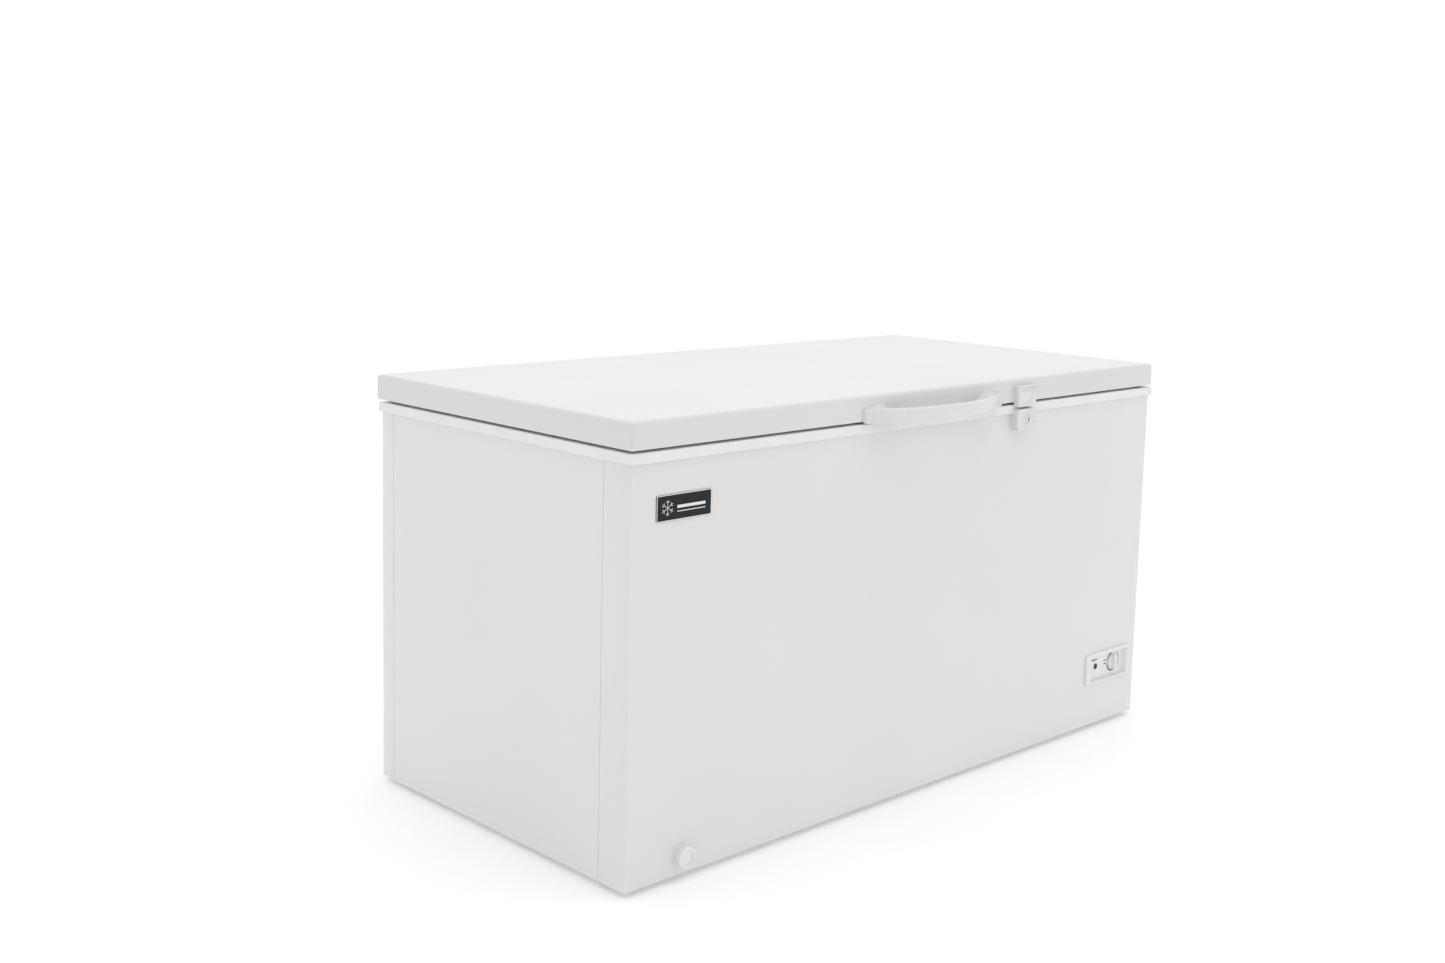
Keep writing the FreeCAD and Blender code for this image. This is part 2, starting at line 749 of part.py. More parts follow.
def bow_outline(z):
    """The bow seen from above: an outer arc, two pads against the lid, and an inner arc."""
    face = y_lid_front
    half = handle_half_length
    pad = half - handle_pad
    inner_reach = handle_reach - handle_bar
    corner = [FreeCAD.Vector(x, face - reach, z) for x, reach in (
        (-half, 0), (-half, handle_end_reach), (0, handle_reach), (half, handle_end_reach), (half, 0),
        (pad, 0), (pad, handle_pad_reach), (0, inner_reach), (-pad, handle_pad_reach), (-pad, 0))]
    edges = [Part.LineSegment(corner[0], corner[1]).toShape(),
             Part.Arc(corner[1], corner[2], corner[3]).toShape(),
             Part.LineSegment(corner[3], corner[4]).toShape(),
             Part.LineSegment(corner[4], corner[5]).toShape(),
             Part.LineSegment(corner[5], corner[6]).toShape(),
             Part.Arc(corner[6], corner[7], corner[8]).toShape(),
             Part.LineSegment(corner[8], corner[9]).toShape(),
             Part.LineSegment(corner[9], corner[0]).toShape()]
    return Part.Wire(edges)


def handle_screws(extra):
    """Two screws put in from inside the skirt, or the room that they need with extra round them."""
    z = z_lid - handle_drop + handle_height * 2 / 3
    inner = y_lid_front + lid_sheet + embed_clearance + extra
    tip = y_lid_front - handle_screw_length
    return [rod((x, inner, z), (x, tip, z), handle_screw_radius + extra)
            for x in (-handle_screw_spread, handle_screw_spread)]


def handle_bow():
    """Bowed pull, screwed to the lid's front skirt."""
    z0 = z_lid - handle_drop
    bow = Part.Face(bow_outline(z0)).extrude(Z_AXIS * handle_height)
    front = y_lid_front - handle_end_reach - handle_bar

    def front_rim(c):
        on_rim = abs(c.z - z0) < embed_clearance or abs(c.z - z0 - handle_height) < embed_clearance
        return on_rim and c.y < front
    bow = rounded(bow, handle_edge_radius, None, front_rim)
    notch = box(-handle_half_length, handle_half_length, y_lid_front - embed_clearance, y_lid_front,
                z0, z_lid)
    return bow.cut([notch] + handle_screws(0))


def handle_cap(side):
    """Tapered end piece beside the bow."""
    x0 = side * handle_half_length
    x1 = side * (handle_half_length + handle_cap_length)
    face = y_lid_front
    low = z_lid - handle_drop
    cap = prism([(x0, face, low), (x0, face - handle_end_reach, low),
                 (x1, face - handle_end_reach / 3, low), (x1, face, low)], Z_AXIS * handle_height)
    return rounded(cap, handle_edge_radius / 2, Z_AXIS, lambda c: abs(c.x - x1) < embed_clearance
                   and c.y < face - embed_clearance)


# ---- Hinges ----

def hinge_base(x):
    """Plate screwed to the rear sheet, with two ears that carry the pin."""
    half = hinge_plate_width / 2
    top = z_skin_top - hinge_trim_clearance
    plate = box(x - half, x + half, y_rear, y_rear + hinge_sheet, top - hinge_plate_height, top)
    past_trim = y_trim_rear + hinge_trim_clearance
    outline = [(y_rear + hinge_sheet / 2, top - hinge_ear_height), (y_rear + hinge_sheet / 2, top),
               (past_trim, top), (past_trim, z_trim_top - hinge_ear_radius),
               (y_pivot - hinge_ear_radius, z_pivot - hinge_ear_radius / 2), (y_pivot, z_pivot),
               (y_pivot + hinge_ear_radius, z_pivot)]
    ears = []
    for side in (-1, 1):
        x0 = x + side * hinge_ear_gap / 2
        x1 = x0 + side * hinge_sheet
        ear = prism([(x0, y, z) for y, z in outline], X_AXIS * (x1 - x0))
        ears.append(ear)
        ears.append(rod((x0, y_pivot, z_pivot), (x1, y_pivot, z_pivot), hinge_ear_radius))
    bore = rod((x - half, y_pivot, z_pivot), (x + half, y_pivot, z_pivot),
               hinge_pin_radius + hinge_pin_clearance)
    return one([plate] + ears).cut(bore)


def hinge_pin(x):
    """Round pin through both ears, with a head at each end."""
    half = hinge_ear_gap / 2 + hinge_sheet + embed_clearance
    pin = rod((x - half, y_pivot, z_pivot), (x + half, y_pivot, z_pivot), hinge_pin_radius)
    heads = [rod((x + s * half, y_pivot, z_pivot),
                 (x + s * (half + hinge_pin_head_length), y_pivot, z_pivot), hinge_pin_head)
             for s in (-1, 1)]
    return one([pin] + heads)


def barrel_limits(x):
    """Where the lid leaf's barrel starts and ends on the pin."""
    start = x - hinge_ear_gap / 2 + hinge_side_clearance
    return start, start + hinge_barrel_length


def hinge_leaf(x):
    """Plate screwed to the lid's rear face, with the barrel that turns on the pin."""
    half = hinge_leaf_width / 2
    b0, b1 = barrel_limits(x)
    plate = box(x - half, x + half, y_lid_rear, y_lid_rear + hinge_sheet,
                z_pivot + hinge_ear_radius, z_pivot + hinge_leaf_height)
    neck = box(b0, b1, y_lid_rear, y_pivot, z_pivot - hinge_sheet / 2, z_pivot + hinge_sheet / 2)
    rise = box(b0, b1, y_lid_rear, y_lid_rear + hinge_sheet, z_pivot - hinge_sheet / 2,
               z_pivot + hinge_ear_radius)
    barrel = rod((b0, y_pivot, z_pivot), (b1, y_pivot, z_pivot), hinge_barrel_radius)
    bore = rod((b0, y_pivot, z_pivot), (b1, y_pivot, z_pivot), hinge_pin_radius + hinge_pin_clearance)
    return one([plate, neck, rise, barrel]).cut(bore)


def hinge_spring(x):
    """Close-wound spring on the rest of the pin, drawn as a sleeve with one bead for each turn."""
    start = barrel_limits(x)[1] + hinge_side_clearance
    end = x + hinge_ear_gap / 2 - hinge_side_clearance
    turns = int((end - start) / spring_wire)
    inner = hinge_pin_radius + spring_bore_clearance
    outer = inner + spring_wire / 2
    edges = []
    here = FreeCAD.Vector(start, y_pivot, z_pivot + outer)
    first = here
    for turn in range(turns):
        crest = here + FreeCAD.Vector(spring_wire / 2, 0, spring_wire / 2)
        there = here + X_AXIS * spring_wire
        edges.append(Part.Arc(here, crest, there).toShape())
        here = there
    low_end = FreeCAD.Vector(here.x, y_pivot, z_pivot + inner)
    low_start = FreeCAD.Vector(start, y_pivot, z_pivot + inner)
    for a, b in ((here, low_end), (low_end, low_start), (low_start, first)):
        edges.append(Part.LineSegment(a, b).toShape())
    face = Part.Face(Part.Wire(edges))
    return face.revolve(FreeCAD.Vector(0, y_pivot, z_pivot), X_AXIS, 360)


# ---- Lock ----

def lock_limits():
    """X and z limits of the lock body, and its front."""
    half = lock_width / 2
    top = z_skin_top + lock_above_skin
    return lock_from_centre - half, lock_from_centre + half, top - lock_height, top, y_trim_front - lock_depth


def cylinder_axis():
    """Where the lock cylinder turns."""
    x0, x1, z0, z1, front = lock_limits()
    return (x0 + x1) / 2 + lock_cylinder_offset, (z0 + z1) / 2


def lock_body():
    """Fixed lower half of the lock, over the trim's lower edge."""
    x0, x1, z0, z1, front = lock_limits()
    body = box(x0, x1, front, y_front, z0, z1)
    body = rounded(body, lock_corner_radius, Y_AXIS)
    body = rounded(body, lock_corner_radius / 2, None, lambda c: abs(c.y - front) < embed_clearance)
    behind = box(x0, x1, y_trim_front, y_front, z_skin_top - embed_clearance, z1)
    x, z = cylinder_axis()
    bore = rod((x, front, z), (x, y_front - lock_floor, z), lock_cylinder_radius + lock_cylinder_clearance)
    reach = lock_cam_length + lock_cam_slot_clearance
    y1 = y_trim_front - lock_floor
    y0 = y1 - lock_cam_thickness - lock_cam_slot_clearance
    half = lock_cam_width / 2 + lock_cam_slot_clearance
    slot = box(x - reach, x + half, y0, y1, z - half, z1)
    slot = slot.common(rod((x, y0, z), (x, y1, z), reach))
    return body.cut([behind, bore, slot])


def lock_cylinder():
    """Round barrel that the key turns, with its keyhole."""
    x0, x1, z0, z1, front = lock_limits()
    x, z = cylinder_axis()
    barrel = rod((x, front - embed_clearance, z), (x, y_front - lock_floor - embed_clearance, z),
                 lock_cylinder_radius)
    slot = box(x - keyhole_width / 2, x + keyhole_width / 2, front - embed_clearance, front + keyhole_depth,
               z - keyhole_height / 2, z + keyhole_height / 2)
    y1 = y_trim_front - lock_floor - lock_cam_slot_clearance / 2
    half = lock_cam_width / 2
    groove = box(x - lock_cylinder_radius, x + half, y1 - lock_cam_thickness, y1, z - half, z + half)
    return barrel.cut([slot, groove])


def lock_cam():
    """Flat tongue through the cylinder; turned up from the left, it reaches into the hasp."""
    x, z = cylinder_axis()
    y1 = y_trim_front - lock_floor - lock_cam_slot_clearance / 2
    half = lock_cam_width / 2
    return box(x - lock_cam_length, x + half, y1 - lock_cam_thickness, y1, z - half, z + half)


def hasp():
    """Upper half of the lock on the lid, sloped on top and slotted underneath."""
    x0, x1, z0, z1, front = lock_limits()
    low = z1 + hasp_gap
    high = low + hasp_height
    back = y_lid_front
    block = prism([(x0, back, low), (x0, front, low), (x0, front, high - hasp_slope), (x0, back, high)],
                  X_AXIS * (x1 - x0))
    block = rounded(block, lock_corner_radius / 2, None, lambda c: abs(c.y - front) < embed_clearance)
    x, z = cylinder_axis()
    slot = box(x - hasp_slot_width / 2, x + hasp_slot_width / 2, front + lock_floor, back - lock_floor,
               low, low + hasp_slot_depth)
    past_trim = box(x0, x1, back - lock_floor / 4, back, low, z_lid)
    return block.cut([slot, past_trim])


# ---- Badge and control panel ----

def badge():
    """Flat plate stuck to the front sheet."""
    x0 = x_left + badge_from_side
    z1 = z_skin_top - badge_from_top
    plate = box(x0, x0 + badge_width, y_front - badge_thickness, y_front, z1 - badge_height, z1)
    return rounded(plate, badge_corner_radius, Y_AXIS)


def control_bezel():
    """Raised plastic surround with a sunk tub for the lamp and the knob."""
    x0 = x_right - panel_from_side - panel_width
    x1 = x0 + panel_width
    z0 = z_body + panel_from_bottom
    z1 = z0 + panel_height
    face = y_front - panel_proud
    rim = rounded(box(x0, x1, face, y_front, z0, z1), panel_corner_radius, Y_AXIS)
    rim = rounded(rim, panel_proud / 2, None, lambda c: abs(c.y - face) < embed_clearance)
    tub = control_opening(0).common(box(x0, x1, y_front, y_panel_floor + panel_wall, z0, z1))
    left, right = x0 + panel_rim_left, x1 - panel_rim_right
    low, high = z0 + panel_rim_bottom, z1 - panel_rim_top
    pocket = prism([(left, face, low), (right, face, low), (right - panel_draft, y_panel_floor, low),
                    (left, y_panel_floor, low)], Z_AXIS * (high - low))
    lamp_hole = rod((x0 + lamp_from_left, face, z_knob), (x0 + lamp_from_left, y_front + wall, z_knob),
                    lamp_radius + lamp_clearance)
    shaft_hole = rod((x_knob, face, z_knob), (x_knob, y_front + wall, z_knob),
                     spindle_radius + spindle_clearance)
    return one([rim, tub]).cut([pocket, lamp_hole, shaft_hole])


def indicator_lens():
    """Dark round lamp lens in the panel's tub."""
    x = x_right - panel_from_side - panel_width + lamp_from_left
    y0 = y_panel_floor - lamp_proud
    lens = rod((x, y0, z_knob), (x, y0 + lamp_length, z_knob), lamp_radius)
    return rounded(lens, lamp_round, None, lambda c: abs(c.y - y0) < embed_clearance)


def thermostat_body():
    """Switch behind the panel, with the bush that the spindle turns in."""
    back = y_panel_floor + panel_wall
    body = box(x_knob - thermostat_width / 2, x_knob + thermostat_width / 2, back, back + thermostat_depth,
               z_knob - thermostat_height / 2, z_knob + thermostat_height / 2)
    body = rounded(body, panel_wall, Y_AXIS)
    bore = rod((x_knob, back, z_knob), (x_knob, back + thermostat_depth - panel_wall, z_knob),
               spindle_radius + spindle_clearance)
    return body.cut(bore)


def thermostat_spindle():
    """Shaft from the switch into the knob."""
    y1 = y_panel_floor + panel_wall + thermostat_depth - panel_wall - embed_clearance
    y0 = y1 - spindle_length
    return rod((x_knob, y0, z_knob), (x_knob, y1, z_knob), spindle_radius)


def thermostat_knob():
    """Round knob with a raised grip across it, pushed onto the spindle."""
    y1 = y_panel_floor - knob_lift
    skirt = rod((x_knob, y1, z_knob), (x_knob, y1 - knob_skirt, z_knob), knob_radius)
    grip = rod((x_knob, y1, z_knob), (x_knob, y1 - knob_height, z_knob), knob_radius)
    half = knob_grip_width / 2
    grip = grip.common(box(x_knob - half, x_knob + half, y1 - knob_height, y1,
                           z_knob - knob_radius, z_knob + knob_radius))
    grip = rounded(grip, knob_wall, Z_AXIS, lambda c: c.y < y1 - knob_height / 2)
    spindle_end = y_panel_floor + thermostat_depth - embed_clearance - spindle_length
    bore = rod((x_knob, y1, z_knob), (x_knob, spindle_end, z_knob), spindle_radius)
    return one([skirt, grip]).cut(bore)


# ---- Cooling system in the bay ----

def compressor():
    """Welded dome with a seam, its foot plate, and the boss that carries the relay."""
    z0 = z_body + bay_plate + grommet_height
    z1 = z0 + compressor_foot_thickness
    top = z1 + compressor_height
    r = compressor_radius
    seam = (z1 + top) / 2
    shell = rod((x_compressor, y_compressor, z1), (x_compressor, y_compressor, top), r)
    shell = rounded(shell, compressor_dome_round, None, lambda c: abs(c.z - top) < embed_clearance)
    shell = rounded(shell, compressor_base_round, None, lambda c: abs(c.z - z1) < embed_clearance)
    lip = rod((x_compressor, y_compressor, seam - compressor_seam), (x_compressor, y_compressor, seam),
              r + compressor_seam)
    half = compressor_foot_half + compressor_foot_radius
    foot = box(x_compressor - half, x_compressor + half, y_compressor - half, y_compressor + half, z0, z1)
    foot = rounded(foot, compressor_foot_radius, Z_AXIS)
    x0 = x_compressor - r - relay_stub
    boss = box(x0, x_compressor, y_compressor - relay_width / 4, y_compressor + relay_width / 4,
               seam + embed_clearance, seam + relay_height / 2)
    lines_out = [rod((x, y, z), (x_compressor, y, z), tube_radius) for x, y, z in line_starts()]
    holes = [rod((x, y, z0), (x, y, z1), grommet_radius / 2) for x, y in grommet_places()]
    return one([shell, lip, foot, boss] + lines_out).cut(holes)


def line_starts():
    """Where the suction and discharge tubes leave the compressor's two stubs."""
    x = x_compressor - compressor_radius - line_stub
    aside = compressor_radius / 2
    z0 = z_body + bay_plate
    return ((x, y_compressor - aside, z0 + suction_height), (x, y_compressor + aside, z0 + discharge_height))


def grommet_places():
    """Plan places of the compressor's four rubber feet."""
    h = compressor_foot_half
    return [(x_compressor + sx * h, y_compressor + sy * h) for sx in (-1, 1) for sy in (-1, 1)]


def compressor_grommets():
    """Four rubber feet between the plate and the compressor."""
    z0 = z_body + bay_plate
    return [rod((x, y, z0), (x, y, z0 + grommet_height), grommet_radius) for x, y in grommet_places()]


def relay_cover():
    """Plastic cover over the compressor's terminals."""
    x1 = x_compressor - compressor_radius - relay_stub
    seam = z_body + bay_plate + grommet_height + compressor_foot_thickness + compressor_height / 2
    half = relay_width / 2 - compressor_radius / 8
    cover = box(x1 - relay_depth, x1, y_compressor - half, y_compressor + half,
                seam, seam + relay_height / 2)
    return rounded(cover, panel_wall, X_AXIS)


def filter_dryer():
    """Copper filter on the bay wall, between the warm tube and the cold tube."""
    x = x_bay + bay_sheet + embed_clearance + dryer_radius
    y = y_rear - dryer_from_rear
    z0 = z_body + bay_height / 2
    body = rod((x, y, z0), (x, y, z0 + dryer_length), dryer_radius)
    return body.makeChamfer(dryer_radius / 2, [e for e in body.Edges if isinstance(e.Curve, Part.Circle)])


def refrigerant_lines():
    """Suction tube to the bay wall, discharge tube to the bay's front, and the filter's two tubes."""
    (sx, sy, sz), (dx, dy, dz) = line_starts()
    wall_face = x_bay + bay_sheet
    suction = rod((sx, sy, sz), (wall_face, sy, sz), tube_radius)
    turn_x = (dx + wall_face) / 2
    discharge = tube([(dx, dy, dz), (turn_x, dy, dz), (turn_x, dy, z_bay)], tube_radius, tube_bend / 2)
    x = wall_face + embed_clearance + dryer_radius
    y = y_rear - dryer_from_rear
    z0 = z_body + bay_height / 2
    up = rod((x, y, z0 + dryer_length), (x, y, z_bay), tube_radius)
    down = rod((x, y, z_body + bay_plate), (x, y, z0), tube_radius / 2)
    return [suction, discharge, up, down]


def cord_gland():
    """Plastic gland where the mains lead enters the bay."""
    x = x_right - gland_from_side
    z = z_body + gland_from_bottom
    flange = rod((x, y_rear, z), (x, y_rear + hinge_sheet, z), gland_flange)
    spigot = rod((x, y_rear - gland_length, z), (x, y_rear, z), gland_radius)
    bore = rod((x, y_rear - gland_length, z), (x, y_rear + hinge_sheet, z), gland_bore)
    return one([flange, spigot]).cut(bore)


# ---- Basket ----

def spread(low, high):
    """Even positions from low to high, no wider apart than the wanted pitch."""
    count = max(1, math.ceil((high - low) / basket_pitch))
    return [low + (high - low) * i / count for i in range(count + 1)]


def basket():
    """Welded wire basket that hangs by its rims on the trim's inner step.

    Each face is one flat welded grid, and the faces meet edge to edge.
    """
    w = basket_wire
    past = basket_rim
    sink = 2 * w - basket_weld
    x1 = in_x - basket_end_gap - basket_rim
    x0 = x1 - basket_length
    z1 = z_ledge + basket_rest + basket_rim
    z0 = z1 - basket_drop
    y0 = in_y_front + basket_wall_gap
    y1 = in_y_rear - basket_wall_gap
    rims = (in_y_front - ledge_width / 2, in_y_rear + ledge_width / 2)
    xs = spread(x0, x1)
    ys = spread(y0 + 2 * w + basket_rest, y1 - 2 * w - basket_rest)
    zs = spread(z0, z1)[1:-1]
    floor = [rod((x, y0 - past, z0), (x, y1 + past, z0), w) for x in xs]
    floor += [rod((x0 - past, y, z0 + sink), (x1 + past, y, z0 + sink), w) for y in ys]
    grids = [floor]
    for y, inward, rim in ((y0, 1, rims[0]), (y1, -1, rims[1])):
        side = [rod((x, y, z0 + w), (x, y, z1 + w), w) for x in xs]
        side += [rod((x0 - past, y + inward * sink, z), (x1 + past, y + inward * sink, z), w) for z in zs]
        hooks = [rod((x, rim, z1), (x, y - inward * w, z1), w) for x in xs]
        grids += [side, [rod((x0 - past, rim, z1), (x1 + past, rim, z1), basket_rim)] + hooks]
    for x, inward in ((x0, 1), (x1, -1)):
        end = [rod((x, y, z0 + sink + w), (x, y, z1), w) for y in ys[1:-1]]
        end += [rod((x + inward * sink, y0 + sink + w, z), (x + inward * sink, y1 - sink - w, z), w)
                for z in zs]
        end.append(rod((x, y0 + w, z1), (x, y1 - w, z1), basket_rim))
        grids.append(end)
    return [wires[0].multiFuse(wires[1:]) for wires in grids]


def main():
    """Write every node."""
    os.makedirs("parts", exist_ok=True)
    save("front_panel", front_panel())
    save("rear_panel", rear_panel())
    save("side_panel_left", side_panel(-1))
    save("side_panel_right", side_panel_right())
    save("vent_grille", vent_grille())
    save("bottom_plate", bottom_plate())
    save("compressor_plate", compressor_plate())
    save("bay_wall", bay_wall())
    save("bay_roof", bay_roof())
    save("glide_feet", *glide_feet())
    for name, sheet in liner_sheets().items():
        save(name, sheet)
    for side in ("front", "rear", "left", "right"):
        save("trim_" + side, trim_rail(side))
    save("evaporator_coil", *[tube(route, tube_radius, evaporator_bend) for route in evaporator_routes()])
    save("condenser_coil", tube(condenser_route(), tube_radius, tube_bend))
    save("foam_insulation", foam_insulation())
    save("drain_tube", drain_tube())
    save("drain_collar", drain_collar())
    save("drain_cap", drain_cap())
    save("drain_bung", drain_bung())
    save("lid_shell", lid_shell())
    save("lid_foam", lid_foam())
    save("lid_liner", lid_liner())
    save("lid_gasket", lid_gasket())
    save("handle_bow", handle_bow())
    save("handle_cap_left", handle_cap(-1))
    save("handle_cap_right", handle_cap(1))
    save("handle_screws", *handle_screws(0))
    for name, x in zip(("left", "right"), hinge_places):
        save("hinge_base_" + name, hinge_base(x))
        save("hinge_leaf_" + name, hinge_leaf(x))
    save("hinge_pins", *[hinge_pin(x) for x in hinge_places])
    save("hinge_springs", *[hinge_spring(x) for x in hinge_places])
    save("lock_body", lock_body())
    save("lock_cylinder", lock_cylinder())
    save("lock_cam", lock_cam())
    save("hasp", hasp())
    save("badge_plate", badge())
    save("control_bezel", control_bezel())
    save("indicator_lens", indicator_lens())
    save("thermostat_body", thermostat_body())
    save("thermostat_spindle", thermostat_spindle())
    save("thermostat_knob", thermostat_knob())
    save("compressor", compressor())
    save("compressor_grommets", *compressor_grommets())
    save("relay_cover", relay_cover())
    save("filter_dryer", filter_dryer())
    save("refrigerant_lines", *refrigerant_lines())
    save("cord_gland", cord_gland())
    save("wire_basket", *basket())


main()
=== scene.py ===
import json
import math

import bmesh
import bpy
from mathutils import Matrix, Vector


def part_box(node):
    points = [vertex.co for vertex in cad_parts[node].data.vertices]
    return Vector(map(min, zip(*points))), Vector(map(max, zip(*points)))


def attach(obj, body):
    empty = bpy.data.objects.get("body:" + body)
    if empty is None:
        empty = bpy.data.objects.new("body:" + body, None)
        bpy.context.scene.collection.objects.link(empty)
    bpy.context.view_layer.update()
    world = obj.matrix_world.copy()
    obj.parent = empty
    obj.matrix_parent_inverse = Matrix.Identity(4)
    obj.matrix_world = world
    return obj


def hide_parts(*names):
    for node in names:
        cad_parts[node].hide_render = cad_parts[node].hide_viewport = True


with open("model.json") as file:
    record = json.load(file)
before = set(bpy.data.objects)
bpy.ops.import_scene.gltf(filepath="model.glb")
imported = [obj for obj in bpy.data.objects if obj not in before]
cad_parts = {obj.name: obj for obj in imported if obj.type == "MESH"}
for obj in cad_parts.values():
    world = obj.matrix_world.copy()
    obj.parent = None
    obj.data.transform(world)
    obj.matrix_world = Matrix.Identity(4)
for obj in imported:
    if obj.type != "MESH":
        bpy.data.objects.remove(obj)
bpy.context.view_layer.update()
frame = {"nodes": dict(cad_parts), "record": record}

nodes = frame["nodes"]
body_of_node = {n: b for b, ns in frame["record"]["behaviour"]["bodies"].items() for n in ns}


# ---- Materials ----

def add(material, kind, inputs=None, **settings):
    """A new node of this kind, with its sockets set to constants or linked to other nodes' outputs."""
    node = material.node_tree.nodes.new("ShaderNode" + kind)
    for key, value in settings.items():
        setattr(node, key, value)
    for key, value in (inputs or {}).items():
        if isinstance(value, bpy.types.NodeSocket):
            material.node_tree.links.new(value, node.inputs[key])
        else:
            node.inputs[key].default_value = value
    return node


def link(material, output, socket):
    material.node_tree.links.new(output, material.node_tree.nodes["Principled BSDF"].inputs[socket])


def new_material(name, **constants):
    """A material whose shader has these constants on its own sockets, and its object coordinates."""
    material = bpy.data.materials.new(name)
    material.use_nodes = True
    shader = material.node_tree.nodes["Principled BSDF"]
    for key, value in constants.items():
        shader.inputs[key.replace("_", " ")].default_value = value
    return material, add(material, "TexCoord").outputs["Object"]


def stretched(material, place, scale):
    return add(material, "Mapping", {"Vector": place, "Scale": scale}).outputs["Vector"]


def noise(material, place, scale, detail=2.0):
    return add(material, "TexNoise", {"Vector": place, "Scale": scale, "Detail": detail}).outputs["Fac"]


def ranged(material, value, low, high, start=0.3, end=0.7):
    """The value from start to end, mapped onto low to high."""
    return add(material, "MapRange", {"Value": value, "From Min": start, "From Max": end,
                                      "To Min": low, "To Max": high}).outputs["Result"]


def tones(material, value, first, second, start=0.35, end=0.65):
    """Two colours, mixed by the value."""
    factor = ranged(material, value, 0.0, 1.0, start, end)
    mix = add(material, "Mix", {"Factor": factor}, data_type="RGBA")
    mix.inputs["A"].default_value = (*first, 1)
    mix.inputs["B"].default_value = (*second, 1)
    return mix.outputs[2]


def bumped(material, *layers):
    """Bumps laid over each other, each a height, its depth in metres and its strength."""
    normal = None
    for height, depth, strength in layers:
        inputs = {"Height": height, "Distance": depth, "Strength": strength}
        if normal:
            inputs["Normal"] = normal
        normal = add(material, "Bump", inputs).outputs["Normal"]
    link(material, normal, "Normal")


def shade(colour, factor):
    return tuple(min(1.0, c * factor) for c in colour)


def enamel(name, colour):
    """Sprayed white paint on steel: orange peel, a slightly wavy sheet, gloss that changes slowly."""
    m, place = new_material(name, Coat_Weight=0.35, Coat_Roughness=0.09, IOR=1.5)
    link(m, tones(m, noise(m, place, 2.3, 3), shade(colour, 0.985), shade(colour, 1.012)), "Base Color")
    link(m, ranged(m, noise(m, place, 4, 1), 0.24, 0.27), "Roughness")
    bumped(m, (noise(m, place, 3.5, 1), 0.0012, 0.2), (noise(m, place, 700, 1), 0.00002, 0.4))
    return m


def moulded(name, colour, rough, grain=1400, depth=0.00006, swirl=9.0, coat=0.0, specular=0.5):
    """Moulded plastic or rubber: faint flow marks, fine grain, gloss that changes a little."""
    m, place = new_material(name, Coat_Weight=coat, Coat_Roughness=0.12, IOR=1.49,
                            Specular_IOR_Level=specular)
    flow = noise(m, stretched(m, place, (1, 2.5, 2.5)), swirl, 3)
    link(m, tones(m, flow, shade(colour, 0.97), shade(colour, 1.02)), "Base Color")
    link(m, ranged(m, noise(m, place, 12, 1), rough - 0.02, rough + 0.02), "Roughness")
    bumped(m, (noise(m, place, grain, 2), depth, 0.6))
    return m


def rolled_metal(name, colour, rough, direction, lines=900):
    """Metal with fine rolling or drawing lines along one direction."""
    m, place = new_material(name, Metallic=1.0, Anisotropic=0.35)
    scale = tuple(0.02 if i == direction else 1.0 for i in range(3))
    line = noise(m, stretched(m, place, scale), lines, 3)
    link(m, tones(m, noise(m, place, 25, 5), shade(colour, 0.86), colour), "Base Color")
    link(m, ranged(m, line, rough - 0.06, rough + 0.1), "Roughness")
    bumped(m, (line, 0.00004, 0.5))
    return m


def galvanised(name, colour):
    """Zinc-coated sheet with its crystal spangle."""
    m, place = new_material(name, Metallic=1.0)
    spangle = add(m, "TexVoronoi", {"Vector": place, "Scale": 90.0}, feature="F1").outputs["Color"]
    value = add(m, "SeparateColor", {"Color": spangle}).outputs["Red"]
    link(m, tones(m, value, shade(colour, 0.78), colour, 0.0, 1.0), "Base Color")
    link(m, ranged(m, value, 0.32, 0.52, 0.0, 1.0), "Roughness")
    bumped(m, (noise(m, place, 500, 2), 0.00005, 0.4))
    return m


def embossed_aluminium(name, colour):
    """Bright liner sheet with a pressed stucco pattern."""
    m, place = new_material(name, Metallic=0.85)
    cell = add(m, "TexVoronoi", {"Vector": place, "Scale": 190.0, "Smoothness": 0.7},
               feature="SMOOTH_F1").outputs["Distance"]
    link(m, tones(m, noise(m, place, 5, 4), shade(colour, 0.93), colour), "Base Color")
    link(m, ranged(m, noise(m, place, 6, 1), 0.32, 0.38), "Roughness")
    bumped(m, (cell, 0.0005, 0.4))
    return m


def foam(name, colour):
    """Rigid foam with open cells and darker skin."""
    m, place = new_material(name, Roughness=0.95)
    cell = add(m, "TexVoronoi", {"Vector": place, "Scale": 1100.0}).outputs["Distance"]
    link(m, tones(m, noise(m, place, 30, 6), shade(colour, 0.8), colour), "Base Color")
    bumped(m, (cell, 0.0005, 0.8), (noise(m, place, 60, 4), 0.002, 0.4))
    return m


